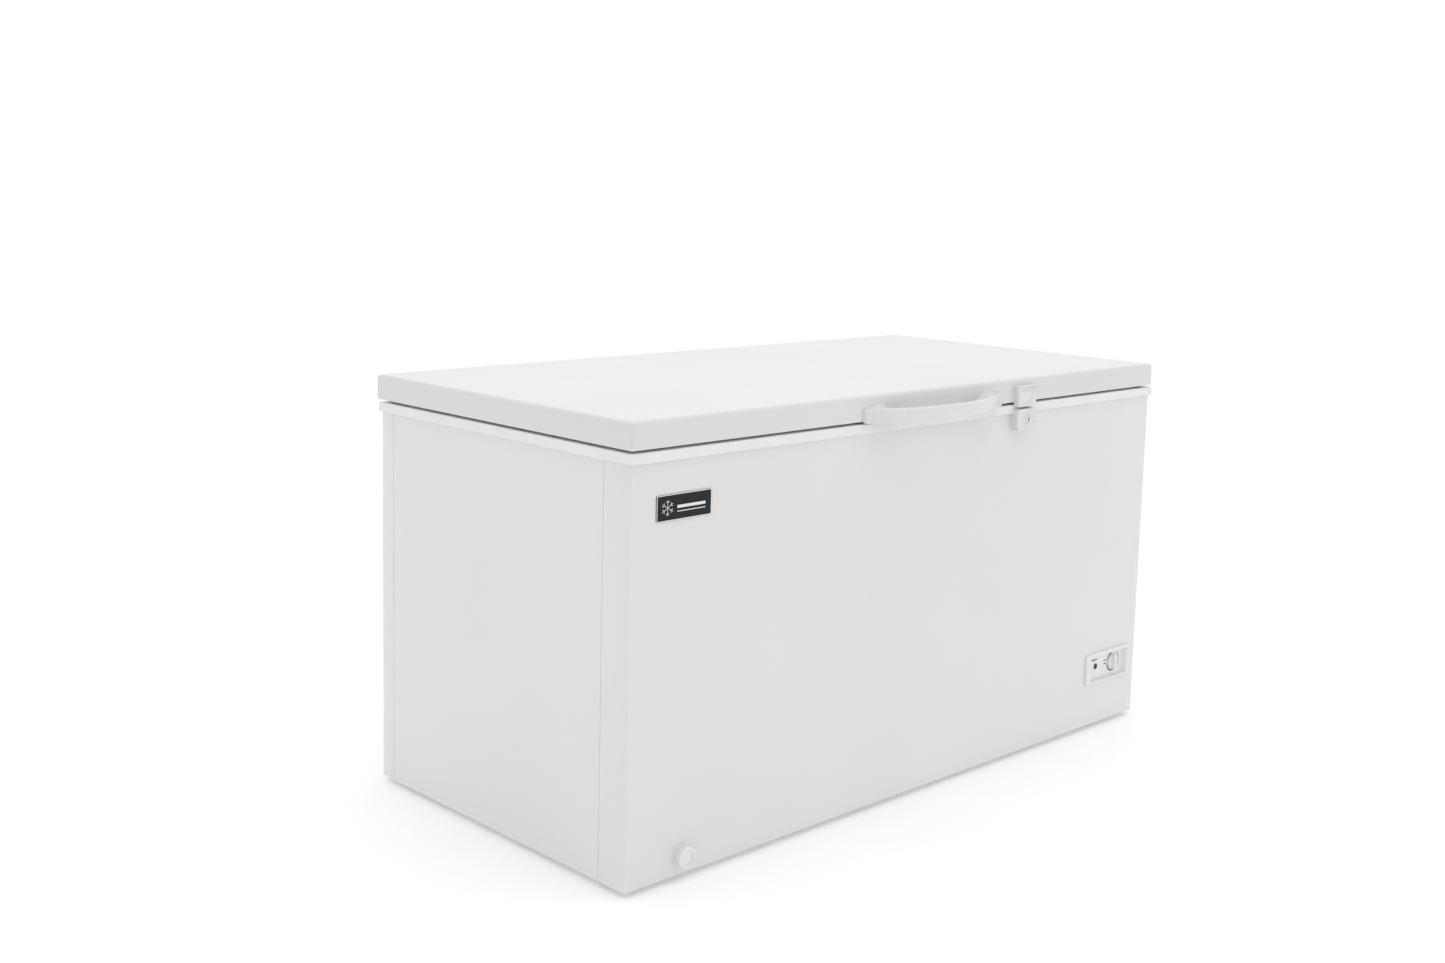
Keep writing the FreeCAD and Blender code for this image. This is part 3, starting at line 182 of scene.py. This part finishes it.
white = (0.745, 0.737, 0.728)
lid_white = (0.700, 0.693, 0.685)
bright_white = (0.80, 0.795, 0.785)
handle_white = (0.725, 0.72, 0.712)
finishes = {
    "white_enamel": enamel("cabinet_enamel", white),
    "lid_enamel": enamel("lid_enamel", lid_white),
    "zinc_sheet": galvanised("galvanised_steel", (0.62, 0.63, 0.65)),
    "liner_sheet": embossed_aluminium("embossed_aluminium", (0.86, 0.87, 0.88)),
    "pu_foam": foam("rigid_foam", (0.78, 0.68, 0.42)),
    "trim_plastic": moulded("trim_pvc", bright_white, 0.34, coat=0.15),
    "lid_lining": moulded("lid_lining_plastic", (0.78, 0.78, 0.77), 0.36, swirl=3.0),
    "seal": moulded("seal_pvc", (0.55, 0.55, 0.545), 0.55, grain=900),
    "handle_plastic": moulded("handle_abs", handle_white, 0.32, coat=0.25),
    "lock_plastic": moulded("lock_abs", handle_white, 0.33, coat=0.2),
    "lock_metal": rolled_metal("lock_steel", (0.66, 0.66, 0.66), 0.35, 0),
    "badge_face": moulded("badge_black", (0.012, 0.014, 0.017), 0.3, specular=0.2),
    "panel_plastic": moulded("panel_abs", (0.80, 0.80, 0.79), 0.36, coat=0.1),
    "knob_plastic": moulded("knob_abs", (0.80, 0.80, 0.79), 0.32, coat=0.1),
    "lamp_lens": moulded("lens_dark", (0.010, 0.010, 0.010), 0.25, coat=0.1, specular=0.25),
    "switch_plastic": moulded("black_nylon", (0.03, 0.03, 0.03), 0.5),
    "black_enamel": moulded("compressor_paint", (0.02, 0.02, 0.02), 0.34, grain=500, coat=0.2),
    "black_rubber": moulded("black_rubber", (0.022, 0.022, 0.022), 0.72, grain=700),
    "copper": rolled_metal("copper_tube", (0.73, 0.37, 0.23), 0.35, 0, lines=600),
    "tube_metal": rolled_metal("steel_tube", (0.5, 0.5, 0.51), 0.36, 0, lines=600),
    "drain_plastic": moulded("drain_pp", bright_white, 0.36, coat=0.1),
    "bung_rubber": moulded("white_rubber", (0.66, 0.66, 0.64), 0.66, grain=800),
    "basket_coating": moulded("basket_dip_coat", (0.80, 0.80, 0.79), 0.33, grain=500, coat=0.3),
    "hinge_metal": rolled_metal("hinge_steel", (0.60, 0.61, 0.62), 0.36, 2),
    "foot_plastic": moulded("foot_pp", (0.025, 0.025, 0.025), 0.55),
    "grille_plastic": moulded("grille_pp", (0.66, 0.66, 0.65), 0.45),
}

# Black ink for real print on the panel, also used as painted shade: the dark keyhole and the screws' cross
# recesses.
ink_and_hole_shade = moulded("dark_ink_and_hole_shade", (0.012, 0.012, 0.013), 0.45)
light_print = moulded("white_ink", (0.78, 0.78, 0.77), 0.4)
silver = rolled_metal("silver_foil", (0.72, 0.73, 0.74), 0.36, 0)

slot_of_node = {name: o.material_slots[0].material.name for name, o in nodes.items()}
for node_name, node_object in nodes.items():
    node_object.material_slots[0].material = finishes[slot_of_node[node_name]]
panel_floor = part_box("front_panel")[0].y + 0.004


# ---- Building pieces ----

def piece(bm, name, body, slot, material=None, smooth=35):
    """An object from a bmesh, smooth but for edges sharper than the given angle, riding on a body."""
    bmesh.ops.recalc_face_normals(bm, faces=bm.faces)
    mesh = bpy.data.meshes.new(name)
    bm.to_mesh(mesh)
    bm.free()
    mesh.polygons.foreach_set("use_smooth", [True] * len(mesh.polygons))
    mesh.set_sharp_from_angle(angle=math.radians(smooth))
    mesh.materials.append(material or finishes[slot])
    made = bpy.data.objects.new(name, mesh)
    bpy.context.scene.collection.objects.link(made)
    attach(made, body)
    return made


def softened(node, width, segments=3, chosen=None):
    """Stands for a CAD node: its own shape, with its sharp outer edges rounded or only the chosen ones."""
    bm = bmesh.new()
    source = nodes[node].data
    verts = [bm.verts.new(v.co) for v in source.vertices]
    for polygon in source.polygons:
        bm.faces.new([verts[i] for i in polygon.vertices])
    bmesh.ops.remove_doubles(bm, verts=bm.verts, dist=1e-6)
    bm.normal_update()
    sharp = [e for e in bm.edges if len(e.link_faces) == 2 and e.calc_face_angle() > 0.6 and e.is_convex
             and (chosen is None or chosen(e))]
    bmesh.ops.bevel(bm, geom=sharp, offset=width, offset_type="OFFSET", segments=segments, profile=0.5,
                    affect="EDGES", clamp_overlap=True)
    made = piece(bm, node + "_soft", body_of_node[node], slot_of_node[node])
    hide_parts(node)
    return made


def skin(bm, sections, closed=False):
    """Faces between closed sections one after the other, with ends, or joined round to the first."""
    rings = [[bm.verts.new(p) for p in section] for section in sections]
    pairs = list(zip(rings, rings[1:]))
    if closed:
        pairs.append((rings[-1], rings[0]))
    for a, b in pairs:
        for i in range(len(a)):
            j = (i + 1) % len(a)
            bm.faces.new((a[i], a[j], b[j], b[i]))
    if not closed:
        bm.faces.new(rings[0])
        bm.faces.new(rings[-1])


def plate(bm, outline, y_back, y_front):
    """A flat shape facing the front, from an outline of x and z."""
    skin(bm, [[(x, y_back, z) for x, z in outline], [(x, y_front, z) for x, z in outline]])


def rounded_outline(x0, x1, z0, z1, radius, steps=6):
    points = []
    for cx, cz, start in ((x1 - radius, z1 - radius, 0), (x0 + radius, z1 - radius, 90),
                          (x0 + radius, z0 + radius, 180), (x1 - radius, z0 + radius, 270)):
        for i in range(steps + 1):
            a = math.radians(start + 90 * i / steps)
            points.append((cx + radius * math.cos(a), cz + radius * math.sin(a)))
    return points


def disc_outline(x, z, radius, steps=40):
    return [(x + radius * math.cos(math.tau * i / steps), z + radius * math.sin(math.tau * i / steps))
            for i in range(steps)]


def smoothstep(value, low, high):
    t = min(1.0, max(0.0, (value - low) / (high - low)))
    return t * t * (3 - 2 * t)


# ---- Softened CAD shapes ----

def soften_frame():
    """The bends of the wrapped sheets, and the small radii on plastic and metal parts."""
    for node, y in (("front_panel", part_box("front_panel")[0].y), ("rear_panel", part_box("rear_panel")[1].y)):
        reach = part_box(node)[1].x

        def on_bend(edge):
            return all(abs(abs(v.co.x) - reach) < 1e-5 and abs(v.co.y - y) < 1e-5 for v in edge.verts)
        softened(node, 0.002, 4, on_bend)
    for node in ("thermostat_knob", "vent_grille"):
        softened(node, 0.0006, 2)
    for node in ("hinge_base_left", "hinge_base_right", "hinge_leaf_left", "hinge_leaf_right"):
        softened(node, 0.0004, 2)


# ---- Lid seal ----

def make_gasket():
    """Hollow magnetic seal: a flange under the lid, and a ribbed bead on the trim."""
    low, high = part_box("lid_gasket")
    depth = high.z - low.z
    profile = ((0.8, 1.0), (0.8, 0.72), (1.9, 0.62), (0.2, 0.45), (0.1, 0.22), (0.8, 0.06), (2.2, 0.0),
               (8.5, 0.0), (9.6, 0.1), (10.2, 0.3), (10.9, 0.3), (11.5, 0.1), (12.6, 0.0), (18.8, 0.0),
               (20.6, 0.06), (21.5, 0.22), (21.4, 0.45), (19.6, 0.62), (20.8, 0.72), (20.8, 1.0))
    sections = []
    for sx, sy in ((-1, -1), (1, -1), (1, 1), (-1, 1)):
        x = high.x if sx > 0 else low.x
        y = high.y if sy > 0 else low.y
        sections.append([(x - sx * u / 1000, y - sy * u / 1000, low.z + depth * t) for u, t in profile])
    bm = bmesh.new()
    skin(bm, sections, closed=True)
    bmesh.ops.subdivide_edges(bm, edges=[e for e in bm.edges if e.calc_length() > 0.3], cuts=24)
    seal = piece(bm, "lid_seal", "lid", "seal", smooth=50)
    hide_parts("lid_gasket")


# ---- Handle ----

def handle_reach_at(x, half, full, end):
    """How far the bow's outer face stands off the lid: a full curve that drops quickly at its ends."""
    t = min(1.0, abs(x) / half)
    return end + (full - end) * (1 - t ** 2.2)


def make_handle():
    """Bowed pull, open for the hand in its middle, whose ends widen and rise into the lid's skirt."""
    low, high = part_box("handle_bow")
    cap_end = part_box("handle_cap_right")[1].x
    half = high.x
    face = high.y
    full = face - low.y
    bar, end_reach = 0.0115, 0.011
    web_start = 0.46        # share of the half length where the web behind the bow begins
    flare_height = 0.009
    sections = []
    count = 96
    for i in range(count + 1):
        x = -half + 2 * half * i / count
        reach = handle_reach_at(x, half, full, end_reach)
        t = abs(x) / half
        inner = max(0.0, reach - bar) * (1 - smoothstep(t, web_start, 0.66))
        raised = smoothstep(t, web_start, 0.88)
        flare = flare_height * smoothstep(t, 0.50, 0.84) * (1 - 0.75 * smoothstep(t, 0.84, 1.0))
        sections.append(bow_section(x, face, reach, inner, low.z, high.z, bar, raised, flare))
    bm = bmesh.new()
    skin(bm, sections)
    bow = piece(bm, "handle_pull", "lid", "handle_plastic", smooth=60)
    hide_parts("handle_bow")
    for side, name in ((-1, "left"), (1, "right")):
        sections = []
        for i in range(13):
            s = i / 12
            x = side * (half + 0.0004 + (cap_end - half - 0.0004) * s)
            reach = 0.0012 + 0.0098 * math.sqrt(max(0.0, 1 - s ** 2.2))
            sections.append(bow_section(x, face, reach, 0.0, low.z + 0.003 * s ** 3, high.z - 0.003 * s ** 3,
                                        bar, 1.0, 0.00225 * (1 - s ** 2)))
        bm = bmesh.new()
        skin(bm, sections)
        cap = piece(bm, "handle_end_" + name, "lid", "handle_plastic", smooth=60)
        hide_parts("handle_cap_" + name)


def bow_section(x, face, reach, inner, bottom, top, bar, raised, flare):
    """The bow cut across: a flat front with rounded edges, then a scooped web rising to the skirt."""
    r = min(0.0035, reach * 0.35)
    web = bottom + 0.002 + (top - bottom - 0.002) * raised
    inner = min(inner, reach - r - 0.0006)
    points = []
    for i in range(5):
        a = math.radians(-90 + 90 * i / 4)
        points.append((x, face - (reach - r + r * math.cos(a)), bottom + r + r * math.sin(a)))
    for i in range(5):
        a = math.radians(90 * i / 4)
        points.append((x, face - (reach - r + r * math.cos(a)), top - r + r * math.sin(a)))
    run = reach - r - inner
    for i in range(1, 17):
        s = i / 16
        away = run * s
        sunk = smoothstep(away, bar - r, bar + 0.010)
        rise = flare * (1 - math.sqrt(max(0.0, 1 - (away / (reach - r)) ** 2)))
        points.append((x, face - (reach - r - away), top + (web - top) * sunk + rise))
    points.append((x, face - inner, bottom + 0.001))
    points.append((x, face - inner - min(0.001, run * 0.3), bottom))
    return points


# ---- Lock ----

def relief_block(name, node, body, slot, corner, edge, relief, lines=56):
    """A block standing off the front, its face shaped by a height, with rounded outline and rim."""
    low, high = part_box(node)
    depth = high.y - low.y
    cx, cz = (low.x + high.x) / 2, (low.z + high.z) / 2
    a, b = (high.x - low.x) / 2, (high.z - low.z) / 2
    bm = bmesh.new()
    grid = []
    for i in range(lines + 1):
        row = []
        for j in range(lines + 1):
            x = a * math.sin(math.pi / 2 * (2 * i / lines - 1))
            z = b * math.sin(math.pi / 2 * (2 * j / lines - 1))
            dx, dz = abs(x) - (a - corner), abs(z) - (b - corner)
            if dx > 0 and dz > 0:
                ring = max(dx, dz)
                squeeze = ring / math.hypot(dx, dz)
                x = math.copysign(a - corner + dx * squeeze, x)
                z = math.copysign(b - corner + dz * squeeze, z)
                inside = corner - ring
            else:
                inside = -max(dx, dz) + corner
            t = min(1.0, max(0.0, inside / edge))
            rise = depth - edge + edge * math.sqrt(max(0.0, 1 - (1 - t) ** 2))
            rise = max(0.0005, rise - relief(x + cx, z + cz) * smoothstep(inside, 0, edge * 1.5))
            row.append(bm.verts.new((x + cx, high.y - rise, z + cz)))
        grid.append(row)
    for i in range(lines):
        for j in range(lines):
            bm.faces.new((grid[i][j], grid[i + 1][j], grid[i + 1][j + 1], grid[i][j + 1]))
    border = (grid[0] + [grid[i][lines] for i in range(1, lines + 1)]
              + [grid[lines][j] for j in range(lines - 1, -1, -1)]
              + [grid[i][0] for i in range(lines - 1, 0, -1)])
    wall = [bm.verts.new((v.co.x, high.y, v.co.z)) for v in border]
    for i in range(len(border)):
        j = (i + 1) % len(border)
        bm.faces.new((border[i], border[j], wall[j], wall[i]))
    bm.faces.new(wall)
    bmesh.ops.remove_doubles(bm, verts=bm.verts, dist=2e-6)
    made = piece(bm, name, body, slot, smooth=60)
    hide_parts(node)
    return made


def carved(made, *volumes):
    """Takes volumes out of a piece, each an outline of x and z between two values of y."""
    for outline, y0, y1 in volumes:
        bm = bmesh.new()
        plate(bm, outline, y0, y1)
        bmesh.ops.recalc_face_normals(bm, faces=bm.faces)
        mesh = bpy.data.meshes.new("cutter")
        bm.to_mesh(mesh)
        bm.free()
        cutter = bpy.data.objects.new("cutter", mesh)
        bpy.context.scene.collection.objects.link(cutter)
        modifier = made.modifiers.new("cut", "BOOLEAN")
        modifier.operation, modifier.solver, modifier.object = "DIFFERENCE", "EXACT", cutter
        shaped = made.evaluated_get(bpy.context.evaluated_depsgraph_get())
        made.data = bpy.data.meshes.new_from_object(shaped)
        made.modifiers.clear()
        bpy.data.objects.remove(cutter)
        bpy.data.meshes.remove(mesh)
    made.data.set_sharp_from_angle(angle=math.radians(60))


def box_outline(x0, x1, z0, z1):
    return [(x0, z0), (x1, z0), (x1, z1), (x0, z1)]


def beside(x, z, ax, az, bx, bz):
    """Signed distance of a point to the left of the line from a to b."""
    length = math.hypot(bx - ax, bz - az)
    return ((bx - ax) * (z - az) - (bz - az) * (x - ax)) / length


def make_hasp():
    """Upper lock half: sloped top, a sunk slanted field with a raised edge, a short line below."""
    low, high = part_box("hasp")
    slope = 0.010

    def relief(x, z):
        u, w = x - low.x, z - low.z
        drop = slope * smoothstep(w, high.z - low.z - 0.017, high.z - low.z + 0.003)
        right = beside(u, w, 0.031, 0.006, 0.055, 0.032)
        left = u - 0.008
        top = 0.0325 - w
        foot = w - 0.006
        field = min(right, left, top, foot)
        sunk = 0.0019 * smoothstep(field, -0.0004, 0.0010)
        rib = -0.0012 * math.exp(-(right / 0.0011) ** 2) * smoothstep(w, 0.005, 0.008) * smoothstep(
            0.034 - w, 0, 0.003)
        dimple = 0.0014 * math.exp(-((u - 0.021) ** 2 + (w - 0.026) ** 2) / 0.0018 ** 2)
        line = 0.0014 * math.exp(-((w - 0.0032) / 0.0006) ** 2) * smoothstep(u, 0.013, 0.016) * smoothstep(
            0.044 - u, 0, 0.003)
        dot = 0.0012 * math.exp(-((u - 0.0505) ** 2 + (w - 0.012) ** 2) / 0.0011 ** 2)
        return drop + sunk + rib + dimple + line + dot
    made = relief_block("lock_hasp", "hasp", "lid", "lock_plastic", 0.0055, 0.0045, relief, lines=84)
    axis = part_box("lock_cylinder")
    kx = (axis[0].x + axis[1].x) / 2
    carved(made, (box_outline(kx - 0.020, kx + 0.020, low.z - 0.002, low.z + 0.012),
                  high.y - 0.008, high.y - 0.002))


def make_lock_body():
    """Lower lock half with a raised round rim about the cylinder and a pointer beside it."""
    cylinder_low, cylinder_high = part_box("lock_cylinder")
    kx, kz = (cylinder_low.x + cylinder_high.x) / 2, (cylinder_low.z + cylinder_high.z) / 2
    r_hole = (cylinder_high.z - cylinder_low.z) / 2

    def relief(x, z):
        r = math.hypot(x - kx, z - kz)
        ground = 0.0026
        ring = -0.0026 * math.exp(-((r - 0.0130) / 0.0017) ** 2)
        flat = -0.0013 * smoothstep(0.0125 - r, 0, 0.0015)
        u, w = x - kx - 0.0178, z - kz + 0.002
        pointer = -0.0022 * smoothstep(0.0042 - abs(w) - max(0.0, -u) * 0.8, 0, 0.0014) * smoothstep(
            0.0042 - abs(u), 0, 0.0014)
        return ground + ring + flat + pointer
    case = relief_block("lock_case", "lock_body", "cabinet", "lock_plastic", 0.0055, 0.0035, relief, lines=84)
    low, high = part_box("lock_body")
    cam_low, cam_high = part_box("lock_cam")
    trim_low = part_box("trim_front")[0]
    front = cylinder_low.y
    reach = kx - cam_low.x + 0.001
    half = (cam_high.z - cam_low.z) / 2 + 0.001
    top = high.z - kz + 0.001
    first, last = math.acos(-math.sqrt(reach ** 2 - top ** 2) / reach), math.pi + math.asin(half / reach)
    swept = [(kx + half, kz - half), (kx + half, kz + top)]
    for i in range(25):
        a = first + (last - first) * i / 24
        swept.append((kx + reach * math.cos(a), kz + reach * math.sin(a)))
    slot_back = cam_high.y + 0.0005
    carved(case, (disc_outline(kx, kz, r_hole + 0.0003), front - 0.002, slot_back),
           (swept, cam_low.y - 0.0005, slot_back),
           (box_outline(low.x - 0.002, high.x + 0.002, trim_low.z - 0.0003, high.z + 0.002),
            trim_low.y, high.y + 0.002))
    bm = bmesh.new()
    plate(bm, disc_outline(kx, kz, r_hole - 0.0001), cam_low.y - 0.0001, front + 0.0006)
    rim = [e for e in bm.edges if all(abs(v.co.y - front - 0.0006) < 1e-7 for v in e.verts)]
    bmesh.ops.bevel(bm, geom=rim, offset=0.0008, segments=3, profile=0.5, affect="EDGES")
    face = piece(bm, "lock_face", "lock_barrel", "lock_plastic")
    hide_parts("lock_cylinder")
    # The keyhole is a thin black plate on the face, not a cut slot: painted shade for the dark inside the
    # keyway.
    bm = bmesh.new()
    key = []
    for i in range(24):
        a = math.tau * i / 24
        u, w = 0.0017 * math.cos(a), 0.0052 * math.sin(a)
        key.append((kx + u + w * 0.28, kz + w))
    plate(bm, key, front + 0.0008, front + 0.00045)
    piece(bm, "keyhole_shade_plate", "lock_barrel", "lock_plastic", ink_and_hole_shade)


# ---- Badge ----

def make_badge():
    """Silver border and a plain snow crystal with two bars, raised a little off the black plate."""
    low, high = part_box("badge_plate")
    front = low.y
    outer = rounded_outline(low.x, high.x, low.z, high.z, 0.003)
    inner = rounded_outline(low.x + 0.0016, high.x - 0.0016, low.z + 0.0016, high.z - 0.0016, 0.0018)
    bm = bmesh.new()
    skin(bm, [[(x, y, z) for x, z in line] for line, y in (
        (outer, front + 0.0006), (outer, front - 0.0003), (inner, front - 0.0003), (inner, front + 0.0006))],
         closed=True)
    piece(bm, "badge_border", "cabinet", "badge_face", silver)
    cx, cz = low.x + 0.024, (low.z + high.z) / 2
    arm, width = 0.0135, 0.0009
    bm = bmesh.new()
    strokes = []
    for i in range(6):
        a = math.radians(90 + 60 * i)
        tip = (cx + arm * math.cos(a), cz + arm * math.sin(a))
        strokes.append(((cx, cz), tip))
        root = (cx + 0.6 * arm * math.cos(a), cz + 0.6 * arm * math.sin(a))
        for turn in (-50, 50):
            b = a + math.radians(turn)
            strokes.append((root, (root[0] + 0.36 * arm * math.cos(b), root[1] + 0.36 * arm * math.sin(b))))
    for (ax, az), (bx, bz) in strokes:
        length = math.hypot(bx - ax, bz - az)
        nx, nz = -(bz - az) / length * width / 2, (bx - ax) / length * width / 2
        plate(bm, [(ax + nx, az + nz), (bx + nx, bz + nz), (bx - nx, bz - nz), (ax - nx, az - nz)],
              front + 0.0002, front - 0.0002)
    for x0, x1, z0, z1 in ((0.045, 0.108, 0.0195, 0.0245), (0.045, 0.108, 0.0135, 0.0150)):
        plate(bm, rounded_outline(low.x + x0, low.x + x1, low.z + z0, low.z + z1, 0.0007, 3),
              front + 0.0002, front - 0.0002)
    piece(bm, "badge_mark", "cabinet", "badge_face", light_print)


# ---- Control panel ----

def arc_band(x, z, start, end, inner, outer, taper=1.0, steps=28):
    """Outline of a band round a centre; its thickness falls to taper times as much at its end."""
    far, near = [], []
    for i in range(steps + 1):
        a = math.radians(start + (end - start) * i / steps)
        reach = inner + (outer - inner) * (1 + (taper - 1) * i / steps)
        far.append((x + reach * math.cos(a), z + reach * math.sin(a)))
        near.append((x + inner * math.cos(a), z + inner * math.sin(a)))
    return far, near


def make_panel_print():
    """Dial wedge, ticks, a dot and a dash printed on the tub's floor, and a white ring about the lamp."""
    knob_low, knob_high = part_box("thermostat_knob")
    lamp_low, lamp_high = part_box("indicator_lens")
    kx, kz = (knob_low.x + knob_high.x) / 2, (knob_low.z + knob_high.z) / 2
    lx, lz = (lamp_low.x + lamp_high.x) / 2, (lamp_low.z + lamp_high.z) / 2
    back, front = panel_floor + 0.0001, panel_floor - 0.00015
    bm = bmesh.new()
    for start, end, inner, outer, taper in ((102, 164, 0.0188, 0.0222, 0.5), (190, 262, 0.0192, 0.0216, 1.2),
                                            (262, 304, 0.0188, 0.0214, 0.5), (48, -40, 0.0236, 0.0252, 1.0)):
        far, near = arc_band(kx, kz, start, end, inner, outer, taper)
        for i in range(len(far) - 1):
            plate(bm, [far[i], far[i + 1], near[i + 1], near[i]], back, front)
    for z in (0.0062, -0.0006):
        dash = rounded_outline(kx - 0.0335, kx - 0.0215, kz + z - 0.001, kz + z + 0.001, 0.0005, 3)
        plate(bm, dash, back, front)
    plate(bm, disc_outline(kx + 0.0215, kz - 0.0175, 0.0014, 20), back, front)
    plate(bm, rounded_outline(lx - 0.0150, lx + 0.0055, lz + 0.0135, lz + 0.0158, 0.0006, 3), back, front)
    piece(bm, "panel_print", "cabinet", "panel_plastic", ink_and_hole_shade)
    bm = bmesh.new()
    steps, r_lens = 48, (lamp_high.z - lamp_low.z) / 2
    sections = []
    for i in range(steps):
        a = math.tau * i / steps
        sections.append([(lx + r * math.cos(a), panel_floor - h, lz + r * math.sin(a)) for r, h in (
            (r_lens + 0.0001, -0.0002), (r_lens + 0.0002, 0.0009), (r_lens + 0.0009, 0.0012),
            (r_lens + 0.0019, 0.0008), (r_lens + 0.0023, -0.0002))])
    skin(bm, sections, closed=True)
    piece(bm, "lamp_ring", "cabinet", "panel_plastic", light_print)


# ---- Fixings ----

def screw_head(name, body, slot, place, normal, radius=0.0042, height=0.0016):
    """Pan head with a cross recess, drawn as two thin black plates on its top: painted shade for the hollow."""
    bm = bmesh.new()
    steps = 32
    rings = []
    for r, h in ((1.0, 0.0), (1.0, 0.35), (0.9, 0.7), (0.68, 0.93), (0.4, 1.0)):
        rings.append([(r * radius * math.cos(math.tau * i / steps),
                       r * radius * math.sin(math.tau * i / steps), h * height) for i in range(steps)])
    skin(bm, rings)
    for turn in (0, 90):
        arm = bmesh.new()
        u, w = (0.58, 0.11) if turn == 0 else (0.11, 0.58)
        corners = [(u * radius, w * radius), (-u * radius, w * radius), (-u * radius, -w * radius),
                   (u * radius, -w * radius)]
        skin(arm, [[(x, y, height * 0.98) for x, y in corners], [(x, y, height * 1.02) for x, y in corners]])
        mesh = bpy.data.meshes.new("arm")
        arm.to_mesh(mesh)
        arm.free()
        before = len(bm.faces)
        bm.from_mesh(mesh)
        bm.faces.ensure_lookup_table()
        for f in bm.faces[before:]:
            f.material_index = 1
        bpy.data.meshes.remove(mesh)
    turn = Vector(normal).to_track_quat("Z", "Y").to_matrix().to_4x4()
    bmesh.ops.transform(bm, matrix=Matrix.Translation(place) @ turn, verts=bm.verts)
    made = piece(bm, name, body, slot)
    # The second material, black, is painted shade in the recess.
    made.data.materials.append(ink_and_hole_shade)
    return made


def make_fixings():
    """Screws through the hinges' plates and leaves."""
    for side in ("left", "right"):
        low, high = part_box("hinge_base_" + side)
        leaf_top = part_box("hinge_leaf_" + side)[1].z
        middle = (low.x + high.x) / 2
        plate_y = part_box("rear_panel")[1].y + 0.003
        leaf_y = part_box("lid_shell")[1].y + 0.003
        places = [(middle + x, plate_y, low.z + z) for x in (-0.030, 0.030) for z in (0.012, 0.050)]
        for i, place in enumerate(places):
            screw_head("hinge_screw_%s_%d" % (side, i + 1), "cabinet", "hinge_metal", place, (0, 1, 0))
        for i, x in enumerate((-0.021, 0.021)):
            screw_head("leaf_screw_%s_%d" % (side, i + 1), "lid", "hinge_metal",
                       (middle + x, leaf_y, leaf_top - 0.008), (0, 1, 0), 0.0036)


# ---- Camera, light and floor ----

def make_camera():
    """Three-quarter view from the front left, a little above the lid."""
    yaw, pitch, roll = -0.7671, 0.1311, -0.0240
    forward = Vector((-math.sin(yaw) * math.cos(pitch), math.cos(yaw) * math.cos(pitch), -math.sin(pitch)))
    right = Vector((math.cos(yaw), math.sin(yaw), 0))
    down = forward.cross(right)
    across = math.cos(roll) * right + math.sin(roll) * down
    below = -math.sin(roll) * right + math.cos(roll) * down
    data = bpy.data.cameras.new("camera")
    data.sensor_width = 36.0
    data.lens = 41.95
    data.shift_y = -0.0623
    camera = bpy.data.objects.new("camera", data)
    bpy.context.scene.collection.objects.link(camera)
    camera.matrix_world = Matrix.Translation((-2.4734, -2.3409, 1.1943)) @ Matrix(
        (across, -below, -forward)).transposed().to_4x4()
    bpy.context.scene.camera = camera


def area_light(name, place, target, size, power):
    data = bpy.data.lights.new(name, "AREA")
    data.shape = "RECTANGLE"
    data.size, data.size_y = size
    data.energy = power
    light = bpy.data.objects.new(name, data)
    bpy.context.scene.collection.objects.link(light)
    light.location = place
    light.rotation_mode = "QUATERNION"
    light.rotation_quaternion = (Vector(target) - Vector(place)).to_track_quat("-Z", "Y")


def make_world():
    """A white studio, a little dimmer towards the left and the front."""
    world = bpy.data.worlds.new("studio")
    world.use_nodes = True
    tree = world.node_tree
    place = tree.nodes.new("ShaderNodeTexCoord").outputs["Generated"]
    facing = tree.nodes.new("ShaderNodeVectorMath")
    facing.operation = "DOT_PRODUCT"
    tree.links.new(place, facing.inputs[0])
    facing.inputs[1].default_value = (0.85, 0.5, 0.15)
    grade = tree.nodes.new("ShaderNodeMapRange")
    tree.links.new(facing.outputs["Value"], grade.inputs["Value"])
    for key, value in {"From Min": -0.6, "From Max": 0.15, "To Min": 0.8, "To Max": 1.0}.items():
        grade.inputs[key].default_value = value
    background = tree.nodes["Background"]
    background.inputs["Color"].default_value = (1, 1, 1, 1)
    tree.links.new(grade.outputs["Result"], background.inputs["Strength"])
    bpy.context.scene.world = world


def make_floor():
    mesh = bpy.data.meshes.new("floor")
    bm = bmesh.new()
    bmesh.ops.create_grid(bm, x_segments=4, y_segments=4, size=30)
    bm.to_mesh(mesh)
    bm.free()
    floor = bpy.data.objects.new("floor", mesh)
    bpy.context.scene.collection.objects.link(floor)
    paper, place = new_material("paper", Emission_Color=(1, 1, 1, 1), Emission_Strength=0.28,
                                Roughness=0.9, Specular_IOR_Level=0.1)
    link(paper, tones(paper, noise(paper, place, 2, 3), (0.78, 0.78, 0.78), (0.8, 0.8, 0.8)), "Base Color")
    mesh.materials.append(paper)


soften_frame()
make_gasket()
make_handle()
make_hasp()
make_lock_body()
make_badge()
make_panel_print()
make_fixings()
make_camera()
make_world()
make_floor()
area_light("overhead", (-0.4, -0.6, 3.2), (0, 0, 0.7), (3.0, 2.0), 12)
bpy.context.scene.view_settings.view_transform = "Standard"
